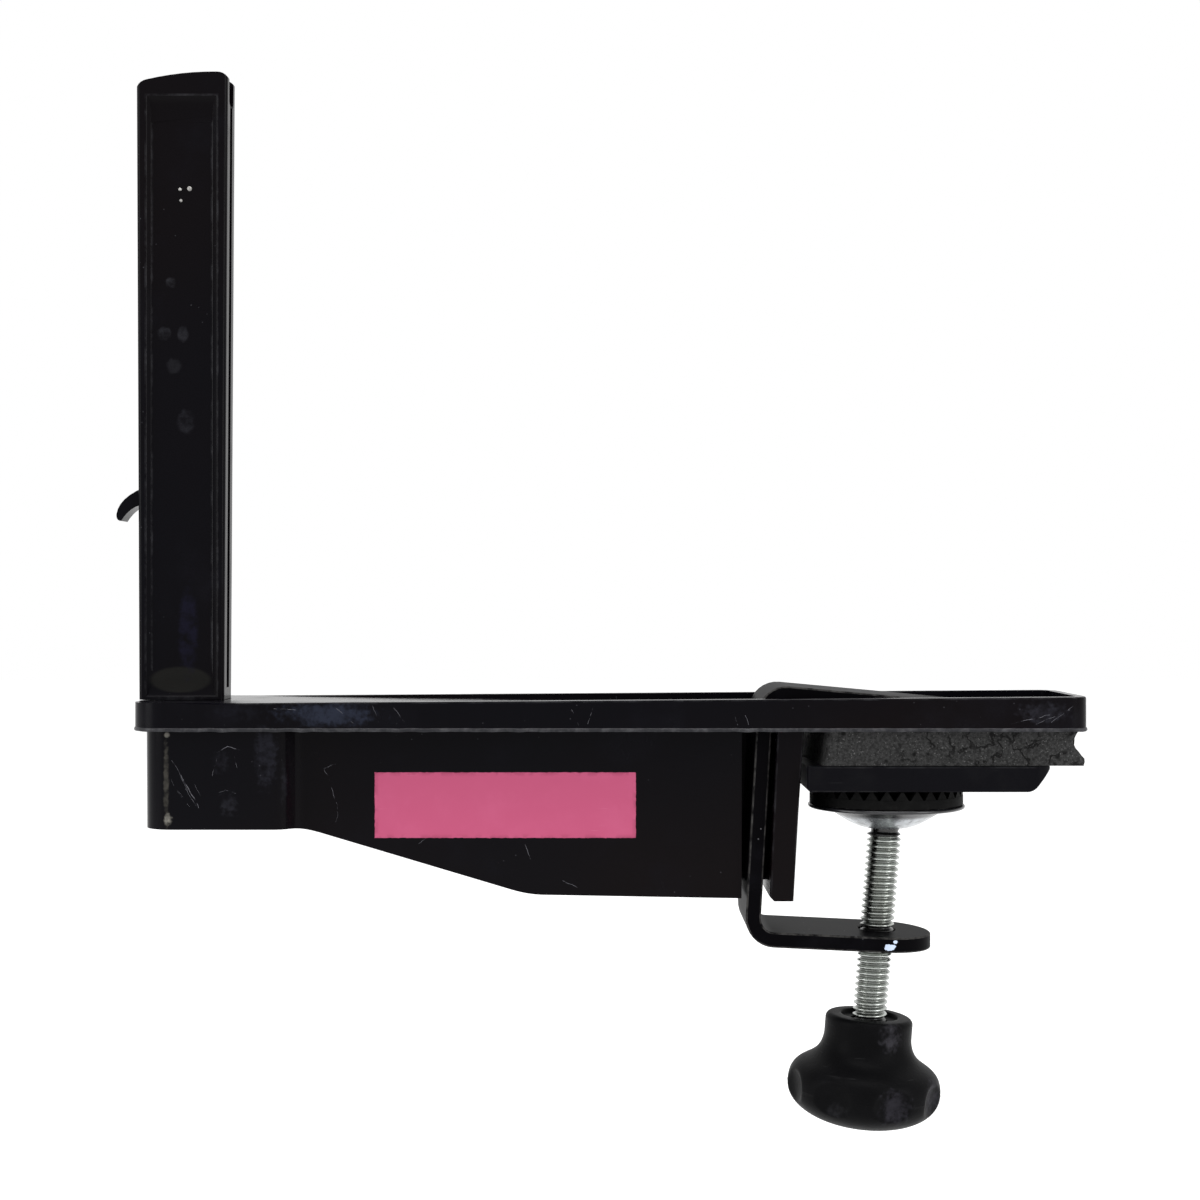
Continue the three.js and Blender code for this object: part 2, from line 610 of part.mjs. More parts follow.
function buildPost(material) {
  const top = POST_TOP_INNER_Z + 2;
  const half = CHANNEL_WIDTH / 2;
  const channel = roundedRectangle(CHANNEL_END - CHANNEL_LENGTH, -half, CHANNEL_END, half, 1.4);
  const legCentre = ROD_CENTRE - ROD_BEND;
  const legHalf = LEG_POCKET / 2;
  const legShape = roundedRectangle(
    legCentre - legHalf, -legHalf, legCentre + legHalf, legHalf, 0.8,
  );
  const mouthBase = POST_TOP_INNER_Z - NET_MOUTH_DEPTH;
  const mouthHalf = NET_MOUTH / 2;
  const mouth = new THREE.Shape();
  mouth.moveTo(-mouthHalf, top);
  mouth.lineTo(-mouthHalf, mouthBase + 1.4);
  mouth.quadraticCurveTo(-mouthHalf, mouthBase, 0, mouthBase);
  mouth.quadraticCurveTo(mouthHalf, mouthBase, mouthHalf, mouthBase + 1.4);
  mouth.lineTo(mouthHalf, top);
  const spigot = socketBounds(0);
  const solid = postBlank()
    .add(toSolid(box(spigot.x0, spigot.x1, -spigot.y, spigot.y, SPIGOT_BASE, POST_BASE + 1)))
    .add(hookSolid())
    .subtract(troughSolid(1))
    .subtract(troughSolid(-1))
    .subtract(toSolid(upright(channel, CHANNEL_FLOOR, top)))
    .subtract(toSolid(rodHole(SPIGOT_BASE - 1, CHANNEL_FLOOR + 1)))
    .subtract(toSolid(box(
      ROD_CENTRE, POST_TOP_INNER + 1, -NET_SLOT / 2, NET_SLOT / 2, CHANNEL_FLOOR - 3, top,
    )))
    .subtract(toSolid(lengthwise(mouth, ROD_CENTRE, POST_TOP_INNER + 1)))
    .subtract(toSolid(upright(legShape, POST_TOP_OUTER_Z - LEG_POCKET_DEPTH, top)))
    .subtract(toSolid(rod(
      FIX_SCREW_RADIUS + FIT_GAP, SPIGOT_BASE - 1, SPIGOT_BASE + FIX_SCREW_LENGTH, 24,
    ).translate(FIX_SCREW_X, 0, 0)));
  return toMesh("post", solid, material);
}

// ---- Post fixing ----

function buildPostWasher(material) {
  const top = SPIGOT_BASE - FIT_GAP - SOCKET_FLOOR - SEAT_GAP;
  const solid = toSolid(rod(FIX_WASHER_RADIUS, top - FIX_WASHER, top, 32))
    .subtract(toSolid(rod(FIX_SCREW_RADIUS + FIT_GAP, top - 2, top + 1, 24)));
  const mesh = toMesh("post_washer", solid, material);
  mesh.position.x = FIX_SCREW_X;
  return mesh;
}

function buildPostScrew(material) {
  const seat = SPIGOT_BASE - FIT_GAP - SOCKET_FLOOR - FIX_WASHER - 2 * SEAT_GAP;
  const head = turned([
    [0, seat - FIX_HEAD_HEIGHT], [FIX_HEAD_RADIUS * 0.6, seat - FIX_HEAD_HEIGHT],
    [FIX_HEAD_RADIUS * 0.93, seat - FIX_HEAD_HEIGHT * 0.62], [FIX_HEAD_RADIUS, seat - 0.6],
    [FIX_HEAD_RADIUS, seat], [0, seat],
  ], 24);
  const arm = FIX_HEAD_RADIUS * 0.55;
  const drive = [[arm, 0.5], [0.5, arm]].map(([x, y]) => toSolid(
    box(-x, x, -y, y, seat - FIX_HEAD_HEIGHT - 1, seat - 0.9),
  ));
  const tip = seat + FIX_SCREW_LENGTH;
  const shank = turned([
    [0, seat - 0.5], [FIX_SCREW_RADIUS, seat - 0.5], [FIX_SCREW_RADIUS, tip - 2.5], [0.4, tip], [0, tip],
  ], 16);
  const solid = toSolid(head).add(toSolid(shank)).subtract(union(drive));
  const mesh = toMesh("post_screw", solid, material);
  mesh.position.x = FIX_SCREW_X;
  return mesh;
}

// ---- Strap ----

// Side view of a bar, from the corners of its outer outline. The bends turn about inner centres.
function bentBar(corners, thickness, innerBend) {
  const radius = innerBend + thickness;
  const points = corners.map(([x, z]) => new THREE.Vector2(x, z));
  const run = (i) => points[i + 1].clone().sub(points[i]).normalize();
  const inward = (direction) => new THREE.Vector2(-direction.y, direction.x);
  const outer = [points[0]];
  const inner = [points[0].clone().addScaledVector(inward(run(0)), thickness)];
  for (let i = 1; i < points.length - 1; i += 1) {
    const from = inward(run(i - 1));
    const to = inward(run(i));
    const reach = radius / (1 + from.dot(to));
    const centre = points[i].clone().addScaledVector(from.clone().add(to), reach);
    const start = Math.atan2(-from.y, -from.x);
    const sweep = Math.acos(from.dot(to));
    for (let k = 0; k <= 8; k += 1) {
      const angle = start + (k / 8) * sweep;
      const way = new THREE.Vector2(Math.cos(angle), Math.sin(angle));
      outer.push(centre.clone().addScaledVector(way, radius));
      inner.push(centre.clone().addScaledVector(way, innerBend));
    }
  }
  const last = points.length - 1;
  outer.push(points[last]);
  inner.push(points[last].clone().addScaledVector(inward(run(last - 1)), thickness));
  return polygon([...outer, ...inner.reverse()].map((point) => [point.x, point.y]));
}

function buildStrap(material) {
  const [upperEnd, upperCorner, lowerCorner, tongueEnd] = STRAP_CORNERS;
  const half = STRAP_WIDTH / 2;
  const clear = lowerCorner[0] - STRAP_THICKNESS;
  const low = tongueEnd[1] - 1;
  const high = upperCorner[1] + 1;
  const middle = (low + high) / 2;
  const tongue = new THREE.Shape();
  tongue.moveTo(clear, half);
  tongue.lineTo(clear, -half);
  tongue.lineTo(TONGUE_X, -half);
  tongue.absarc(TONGUE_X, 0, half, -Math.PI / 2, Math.PI / 2);
  const upper = roundedRectangle(clear - STRAP_CORNER, -half, upperEnd[0], half, STRAP_CORNER);
  const outline = toSolid(upright(tongue, low, middle, 14))
    .add(toSolid(upright(upper, middle - 1, high)));
  const solid = toSolid(across(bentBar(STRAP_CORNERS, STRAP_THICKNESS, STRAP_INNER_BEND), STRAP_WIDTH))
    .intersect(outline)
    .subtract(toSolid(rod(SCREW_RADIUS + FIT_GAP, low, middle, 32))
      .rotate([0, THREE.MathUtils.radToDeg(LEAN), 0]));
  return toMesh("strap", solid, material);
}

// ---- Clamping screw and knob, in the leaning frame ----

function buildSpindle(material) {
  const centre = BALL_Z / Math.cos(LEAN);
  const profile = [];
  const steps = 10;
  const neckAngle = Math.asin(BALL_NECK_RADIUS / BALL_RADIUS);
  for (let i = 0; i <= steps; i += 1) {
    const angle = (Math.PI - neckAngle) * (1 - i / steps);
    profile.push([BALL_RADIUS * Math.sin(angle), centre + BALL_RADIUS * Math.cos(angle)]);
  }
  profile[steps][0] = 0;
  const squareStart = SCREW_END + SCREW_SQUARE_LENGTH;
  const solid = toSolid(turned([
    [0, squareStart - 0.5],
    [SCREW_RADIUS, squareStart - 0.5],
    [SCREW_RADIUS, THREAD_START - 0.8],
    [BALL_NECK_RADIUS, THREAD_START],
    ...profile,
  ], 32)).add(toSolid(box(
    -SCREW_SQUARE / 2, SCREW_SQUARE / 2, -SCREW_SQUARE / 2, SCREW_SQUARE / 2, SCREW_END, squareStart,
  )));
  return toMesh("spindle", solid, material);
}

function knobProfile() {
  const round = 1.2;
  const points = [[0, KNOB_TOP], [KNOB_NECK_RADIUS - round, KNOB_TOP]];
  for (let i = 1; i <= 3; i += 1) {
    const angle = (i / 3) * (Math.PI / 2);
    points.push([
      KNOB_NECK_RADIUS - round + round * Math.sin(angle),
      KNOB_TOP - round + round * Math.cos(angle),
    ]);
  }
  const neckEnd = KNOB_TOP - KNOB_NECK_LENGTH;
  const flare = new THREE.CubicBezierCurve(
    new THREE.Vector2(KNOB_NECK_RADIUS, neckEnd),
    new THREE.Vector2(KNOB_NECK_RADIUS + KNOB_FLARE.out, neckEnd - KNOB_FLARE.neckPull),
    new THREE.Vector2(KNOB_RADIUS, neckEnd - KNOB_FLARE.rimPull),
    new THREE.Vector2(KNOB_RADIUS, KNOB_RIM),
  );
  for (const point of flare.getPoints(12)) points.push([point.x, point.y]);
  const steps = 9;
  const power = 2.2;
  for (let i = 1; i < steps; i += 1) {
    const angle = (i / steps) * (Math.PI / 2);
    points.push([
      KNOB_RADIUS * Math.cos(angle) ** (2 / power),
      KNOB_RIM - KNOB_DOME * Math.sin(angle) ** (2 / power),
    ]);
  }
  points.push([0, KNOB_RIM - KNOB_DOME]);
  return points.reverse();
}

function buildKnob(material) {
  const scoopCentre = KNOB_RADIUS - KNOB_SCOOP_DEPTH + KNOB_SCOOP_RADIUS;
  const scoops = [];
  for (let i = 0; i < KNOB_LOBES; i += 1) {
    scoops.push(toSolid(new THREE.SphereGeometry(KNOB_SCOOP_RADIUS, 36, 20)
      .rotateX(Math.PI / 2)
      .scale(1, 1, KNOB_SCOOP_HEIGHT / KNOB_SCOOP_RADIUS)
      .translate(scoopCentre, 0, KNOB_RIM - 1)
      .rotateZ(KNOB_TURN + ((i + 0.5) / KNOB_LOBES) * 2 * Math.PI)));
  }
  const bore = SCREW_SQUARE / 2 + FIT_GAP;
  const squareStart = SCREW_END + SCREW_SQUARE_LENGTH;
  const solid = toSolid(turned(knobProfile(), 64))
    .subtract(union(scoops))
    .subtract(toSolid(rod(KNOB_RECESS_RADIUS, KNOB_TOP - KNOB_RECESS, KNOB_TOP + 1, 32)))
    .subtract(toSolid(rod(SCREW_RADIUS + FIT_GAP, squareStart - 0.5 - FIT_GAP, KNOB_TOP + 1, 32)))
    .subtract(toSolid(box(-bore, bore, -bore, bore, SCREW_END - FIT_GAP, squareStart)));
  return toMesh("knob", solid, material);
}

// ---- Jaw ----

function buildJawPlate(material) {
  const base = JAW_TOP - JAW_THICKNESS;
  const stopAtJaw = THREE.MathUtils.mapLinear(
    base, PLATE_BASE, STOP_BREAK, STOP_TOP_X, STOP_BREAK_X,
  );
  const back = stopAtJaw + JAW_STOP_CLEARANCE;
  const round = 1.6;
  const side = new THREE.Shape();
  side.moveTo(back, base + 0.6);
  side.lineTo(back + 0.6, base);
  side.lineTo(JAW_TABLE_END - JAW_END_CHAMFER - round, base);
  side.quadraticCurveTo(
    JAW_TABLE_END - JAW_END_CHAMFER, base,
    JAW_TABLE_END - JAW_END_CHAMFER + round * 0.63, base + round * 0.78,
  );
  side.lineTo(JAW_TABLE_END - 0.5, JAW_TOP - 0.6);
  side.lineTo(JAW_TABLE_END - 0.5, JAW_TOP);
  side.lineTo(back, JAW_TOP);
  const plan = roundedRectangle(back, -JAW_HALF_WIDTH, JAW_TABLE_END, JAW_HALF_WIDTH, 1, 4);
  const solid = toSolid(across(side, 2 * JAW_HALF_WIDTH + 2))
    .intersect(toSolid(upright(plan, base - 1, JAW_TOP + 1)));
  return toMesh("jaw_plate", solid, material);
}

// The disc and the cup sit level, centred on the ball of the leaning screw.
function ballX() {
  return BALL_Z * Math.tan(LEAN);
}

function buildGripDisc(material) {
  const jawBase = JAW_TOP - JAW_THICKNESS;
  const tipTop = jawBase - SEAT_GAP;
  const root = tipTop - TOOTH_HEIGHT;
  const pitch = (2 * Math.PI) / TOOTH_COUNT;
  const halfBase = DISC_RADIUS * Math.tan(pitch / 2) * 0.88;
  const tooth = polygon([[-halfBase, root - 0.3], [halfBase, root - 0.3], [halfBase, root],
    [0.25, tipTop], [-0.25, tipTop], [-halfBase, root]]);
  const teeth = [];
  for (let i = 0; i < TOOTH_COUNT; i += 1) {
    const angle = TOOTH_PHASE + i * pitch;
    teeth.push(toSolid(lengthwise(tooth, DISC_RADIUS - TOOTH_LENGTH, DISC_RADIUS - 0.15)
      .rotateZ(angle)));
  }
  const body = turned([
    [0, DISC_BASE], [DISC_RADIUS, DISC_BASE], [DISC_RADIUS, root], [DISC_HUB_RADIUS, root],
    [DISC_HUB_RADIUS, tipTop], [0, tipTop],
  ]);
  const seat = new THREE.SphereGeometry(BALL_RADIUS + FIT_GAP, 32, 20).translate(0, 0, BALL_Z);
  const solid = toSolid(body).add(union(teeth)).subtract(toSolid(seat));
  const mesh = toMesh("grip_disc", solid, material);
  mesh.position.x = ballX();
  return mesh;
}

function buildSwivelCup(material) {
  const top = DISC_BASE - SEAT_GAP;
  const hole = BALL_NECK_RADIUS + 0.7;
  const shoulder = top - CUP_METAL;
  const rim = CUP_RADIUS - 0.3;
  const outer = new THREE.CubicBezierCurve(
    new THREE.Vector2(hole, CUP_DOME_BASE),
    new THREE.Vector2(hole + 2.6, CUP_DOME_BASE),
    new THREE.Vector2(CUP_DOME_RADIUS - 2, shoulder - 1.2),
    new THREE.Vector2(CUP_DOME_RADIUS + 1, shoulder),
  ).getPoints(7).map((point) => [point.x, point.y]);
  const inner = outer.map(([radius, height]) => [radius, height + CUP_METAL]).reverse();
  const section = [
    ...outer,
    [rim, shoulder], [CUP_RADIUS, shoulder + 0.3], [CUP_RADIUS, top - 0.2], [rim, top],
    ...inner,
    outer[0],
  ];
  const mesh = toMesh("swivel_cup", toSolid(turned(section)), material);
  mesh.position.x = ballX();
  return mesh;
}

// ---- Foam pad ----

function buildUpperPad(material) {
  const top = PLATE_BASE - SEAT_GAP;
  const round = 1.3;
  const shape = new THREE.Shape();
  shape.moveTo(PAD_OUTER_END + round, 0);
  shape.lineTo(PAD_TABLE_END - round, 0);
  shape.quadraticCurveTo(PAD_TABLE_END, 0.2, PAD_TABLE_END - 0.1, round);
  shape.quadraticCurveTo(PAD_TABLE_END - PAD_WAIST, top / 2, PAD_TABLE_END - PAD_WAIST, top);
  shape.lineTo(PAD_OUTER_END + PAD_SLOPE, top);
  shape.lineTo(PAD_OUTER_END, round);
  shape.quadraticCurveTo(PAD_OUTER_END, 0.2, PAD_OUTER_END + round, 0);
  const block = mapVertices(across(shape, PAD_WIDTH), (point) => {
    const share = THREE.MathUtils.clamp((PAD_TABLE_END / 2 - point.x) / PAD_TABLE_END, 0, 1);
    point.x -= share * PAD_SKEW * (point.y / PAD_WIDTH + 0.5);
  });
  return toMesh("upper_pad", toSolid(block), material);
}

// ---- Materials ----
function finish(color, roughness, metalness) {
  return new THREE.MeshStandardMaterial({ color, roughness, metalness });
}

const GLOSS_BLACK = 0x0c0c0f;
const MATT_BLACK = 0x161618;
const ZINC = 0xb9c0c2;

// ---- Assembly ----
const group = new THREE.Group();
group.add(
  buildBracket(finish(GLOSS_BLACK, 0.22, 0)),
  buildPost(finish(GLOSS_BLACK, 0.25, 0)),
  buildPostScrew(finish(ZINC, 0.35, 1)),
  buildPostWasher(finish(ZINC, 0.4, 1)),
  buildUpperPad(finish(0x3a3a3c, 0.95, 0)),
  buildJawPlate(finish(MATT_BLACK, 0.5, 0)),
  buildGripDisc(finish(MATT_BLACK, 0.7, 0)),
  buildSwivelCup(finish(GLOSS_BLACK, 0.3, 0.6)),
  buildStrap(finish(GLOSS_BLACK, 0.2, 0.2)),
);

const leaning = new THREE.Group();
leaning.rotation.y = LEAN;
leaning.add(
  buildSpindle(finish(ZINC, 0.3, 1)),
  buildKnob(finish(MATT_BLACK, 0.55, 0)),
);
group.add(leaning);

export default group;
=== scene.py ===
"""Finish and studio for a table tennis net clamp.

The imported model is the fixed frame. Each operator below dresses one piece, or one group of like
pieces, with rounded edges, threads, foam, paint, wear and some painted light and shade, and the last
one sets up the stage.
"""

import json
import math

import bmesh
import bpy
from bpy.props import FloatProperty, FloatVectorProperty, IntProperty, PointerProperty
from mathutils import Matrix, Vector, noise
from mathutils.bvhtree import BVHTree


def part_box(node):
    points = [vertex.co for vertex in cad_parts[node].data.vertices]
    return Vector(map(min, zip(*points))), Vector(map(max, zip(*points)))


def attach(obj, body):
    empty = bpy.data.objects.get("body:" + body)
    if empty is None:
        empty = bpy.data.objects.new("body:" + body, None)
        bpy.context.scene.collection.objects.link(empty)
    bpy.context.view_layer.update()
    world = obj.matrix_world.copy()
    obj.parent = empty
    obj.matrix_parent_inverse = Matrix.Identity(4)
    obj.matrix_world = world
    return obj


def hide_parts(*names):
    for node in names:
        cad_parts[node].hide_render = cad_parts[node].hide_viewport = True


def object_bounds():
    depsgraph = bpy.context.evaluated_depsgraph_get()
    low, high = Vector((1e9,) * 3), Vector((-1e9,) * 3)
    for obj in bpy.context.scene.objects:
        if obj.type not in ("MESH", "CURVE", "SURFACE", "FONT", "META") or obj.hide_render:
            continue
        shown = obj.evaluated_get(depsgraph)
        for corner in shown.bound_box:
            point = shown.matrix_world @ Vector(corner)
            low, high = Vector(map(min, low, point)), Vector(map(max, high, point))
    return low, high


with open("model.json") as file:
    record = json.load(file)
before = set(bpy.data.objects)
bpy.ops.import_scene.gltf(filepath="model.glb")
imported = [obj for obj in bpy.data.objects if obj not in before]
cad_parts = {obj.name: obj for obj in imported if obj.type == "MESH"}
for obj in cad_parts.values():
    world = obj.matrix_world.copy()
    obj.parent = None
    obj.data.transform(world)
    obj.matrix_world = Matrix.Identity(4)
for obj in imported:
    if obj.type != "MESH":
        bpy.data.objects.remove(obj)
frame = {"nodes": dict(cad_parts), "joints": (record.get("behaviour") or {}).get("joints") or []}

bl_info = {
    "name": "Net clamp finish",
    "version": (1, 0, 0),
    "blender": (4, 5, 0),
    "location": "View3D > Sidebar > Net clamp",
    "description": "Dresses the packed net clamp with its mouldings, thread, foam, paint and wear",
    "category": "Object",
}

MM = 0.001
CAD_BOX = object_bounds()
SCREW_JOINT = next(j for j in frame["joints"] if j["name"] == "screw_turn")
SCREW_UP = -Vector(SCREW_JOINT["axis"]).normalized()
JAW_JOINT = next(j for j in frame["joints"] if j["name"] == "jaw_travel")
KNOB_DROP = JAW_JOINT["range_m"][1] + MM      # the floor lies clear of the opened clamp
LEAN = Matrix.Rotation(math.atan2(SCREW_UP.x, SCREW_UP.z), 4, "Y")


# ---- Sizes and colours that a user would change ----


class ClampSizes(bpy.types.PropertyGroup):
    """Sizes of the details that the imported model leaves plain."""

    moulded_edge: FloatProperty(
        name="Moulded edge", description="Rounding along the edges of the bracket and post",
        default=0.45 * MM, unit="LENGTH", subtype="DISTANCE",
    )
    bar_edge: FloatProperty(
        name="Bar edge", description="Rounding along the edges of the steel strap",
        default=0.4 * MM, unit="LENGTH", subtype="DISTANCE",
    )
    jaw_edge: FloatProperty(
        name="Jaw edge", description="Rounding along the edges of the jaw plate",
        default=0.35 * MM, unit="LENGTH", subtype="DISTANCE",
    )
    thread_pitch: FloatProperty(
        name="Thread pitch", description="Advance of the clamping screw in one turn",
        default=25.4 / 18 * MM, unit="LENGTH", subtype="DISTANCE",
    )
    thread_radius: FloatProperty(
        name="Thread radius", description="Radius over the crests of the thread",
        default=3.97 * MM, unit="LENGTH", subtype="DISTANCE",
    )
    thread_depth: FloatProperty(
        name="Thread depth", description="Depth of the thread from crest to root",
        default=0.84 * MM, unit="LENGTH", subtype="DISTANCE",
    )
    knob_lobes: IntProperty(
        name="Knob lobes", description="Number of lobes round the knob", default=8, min=3,
    )
    foam_cell: FloatProperty(
        name="Foam facet", description="Distance between the points of the foam pad's mesh",
        default=0.8 * MM, unit="LENGTH", subtype="DISTANCE",
    )
    flash_reach: FloatProperty(
        name="Flash reach", description="How far the parting flash stands out from the rim",
        default=0.22 * MM, unit="LENGTH", subtype="DISTANCE",
    )


class ClampColors(bpy.types.PropertyGroup):
    """Colours of the finishes."""

    gloss_black: FloatVectorProperty(
        name="Gloss black", description="Moulded bracket and post",
        default=(0.0022, 0.0020, 0.0034), size=3, subtype="COLOR", min=0, max=1,
    )
    satin_black: FloatVectorProperty(
        name="Satin black", description="Moulded knob",
        default=(0.0032, 0.0032, 0.0036), size=3, subtype="COLOR", min=0, max=1,
    )
    jaw_black: FloatVectorProperty(
        name="Jaw black", description="Moulded jaw plate",
        default=(0.0022, 0.0021, 0.0034), size=3, subtype="COLOR", min=0, max=1,
    )
    rubber_black: FloatVectorProperty(
        name="Rubber black", description="Toothed disc",
        default=(0.0020, 0.0020, 0.0020), size=3, subtype="COLOR", min=0, max=1,
    )
    paint_black: FloatVectorProperty(
        name="Paint black", description="Painted steel strap",
        default=(0.0020, 0.0018, 0.0024), size=3, subtype="COLOR", min=0, max=1,
    )
    foam_grey: FloatVectorProperty(
        name="Foam grey", description="Closed-cell foam pad",
        default=(0.034, 0.034, 0.034), size=3, subtype="COLOR", min=0, max=1,
    )
    zinc: FloatVectorProperty(
        name="Zinc", description="Plated screw and fasteners",
        default=(0.52, 0.545, 0.52), size=3, subtype="COLOR", min=0, max=1,
    )
    label_pink: FloatVectorProperty(
        name="Label pink", description="Bare label on the arm",
        default=(0.539, 0.087, 0.191), size=3, subtype="COLOR", min=0, max=1,
    )


def sizes():
    return bpy.context.scene.clamp_sizes


def colors():
    return bpy.context.scene.clamp_colors


# ---- Meshes ----


def smoothstep(low, high, value):
    share = min(1.0, max(0.0, (value - low) / (high - low)))
    return share * share * (3 - 2 * share)


def leaning_extent(node):
    """Lowest and highest corner of a CAD node, measured along the leaning screw."""
    upright = LEAN.inverted()
    points = [upright @ v.co for v in frame["nodes"][node].data.vertices]
    low = Vector(min(p[i] for p in points) for i in range(3))
    high = Vector(max(p[i] for p in points) for i in range(3))
    return low, high


def add_piece(name, mesh_data, body, material, replaces=(), sharp=35, weighted=False):
    """Makes an object of a bmesh, shades it, and ties it to its body and material slot."""
    limit = math.radians(sharp)
    for face in mesh_data.faces:
        face.smooth = True
    for edge in mesh_data.edges:
        edge.smooth = len(edge.link_faces) == 2 and edge.calc_face_angle() < limit
    mesh = bpy.data.meshes.new(name)
    mesh_data.to_mesh(mesh)
    mesh_data.free()
    piece = bpy.data.objects.new(name, mesh)
    bpy.context.scene.collection.objects.link(piece)
    mesh.materials.append(material)
    if weighted:
        modifier = piece.modifiers.new("Face weight", "WEIGHTED_NORMAL")
        modifier.mode = "FACE_AREA"
        modifier.weight = 60
        modifier.keep_sharp = True
    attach(piece, body)
    if replaces:
        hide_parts(*replaces)
    return piece


def rounded_copy(node, width, corner=35, segments=2, keep=None):
    """A copy of a CAD node with its sharp edges rounded. New faces carry wear = 1."""
    mesh_data = bmesh.new()
    mesh_data.from_mesh(frame["nodes"][node].data)
    bmesh.ops.remove_doubles(mesh_data, verts=mesh_data.verts, dist=0.002 * MM)
    bmesh.ops.dissolve_limit(
        mesh_data, angle_limit=math.radians(0.6), verts=mesh_data.verts, edges=mesh_data.edges,
    )
    wear = mesh_data.loops.layers.float.new("wear")
    limit = math.radians(corner)
    edges = [
        e for e in mesh_data.edges
        if len(e.link_faces) == 2 and e.calc_face_angle() > limit and (keep is None or keep(e))
    ]
    result = bmesh.ops.bevel(
        mesh_data, geom=edges, offset=width, offset_type="OFFSET", segments=segments,
        profile=0.5, affect="EDGES", clamp_overlap=False, loop_slide=True,
    )
    for face in result["faces"]:
        for loop in face.loops:
            loop[wear] = 1.0
    return mesh_data


def grid_shell(rings, closed_ends=True):
    """Skins a list of equal rings of points into one closed surface."""
    mesh_data = bmesh.new()
    rows = [[mesh_data.verts.new(p) for p in ring] for ring in rings]
    count = len(rings[0])
    for low, high in zip(rows, rows[1:]):
        for i in range(count):
            j = (i + 1) % count
            mesh_data.faces.new((low[i], low[j], high[j], high[i]))
    if closed_ends:
        mesh_data.faces.new(list(reversed(rows[0])))
        mesh_data.faces.new(rows[-1])
    bmesh.ops.recalc_face_normals(mesh_data, faces=mesh_data.faces)
    return mesh_data


def around(steps, height, radius_at):
    """A level ring of points about the Z axis, with a radius for each angle."""
    ring = []
    for i in range(steps):
        angle = 2 * math.pi * i / steps
        radius = radius_at(angle)
        ring.append(Vector((radius * math.cos(angle), radius * math.sin(angle), height)))
    return ring


def curve(controls, steps, first=0):
    """Points (radius, height) of a cubic curve, from one step to its end."""
    points = []
    for i in range(first, steps + 1):
        t = i / steps
        weights = ((1 - t) ** 3, 3 * t * (1 - t) ** 2, 3 * t * t * (1 - t), t ** 3)
        spot = sum((Vector(c) * w for c, w in zip(controls, weights)), Vector((0, 0)))
        points.append((spot.x, spot.y))
    return points


# ---- Materials ----


SCRATCH_DRIFT = 1.4 * MM    # how far a long scratch may wander off its line


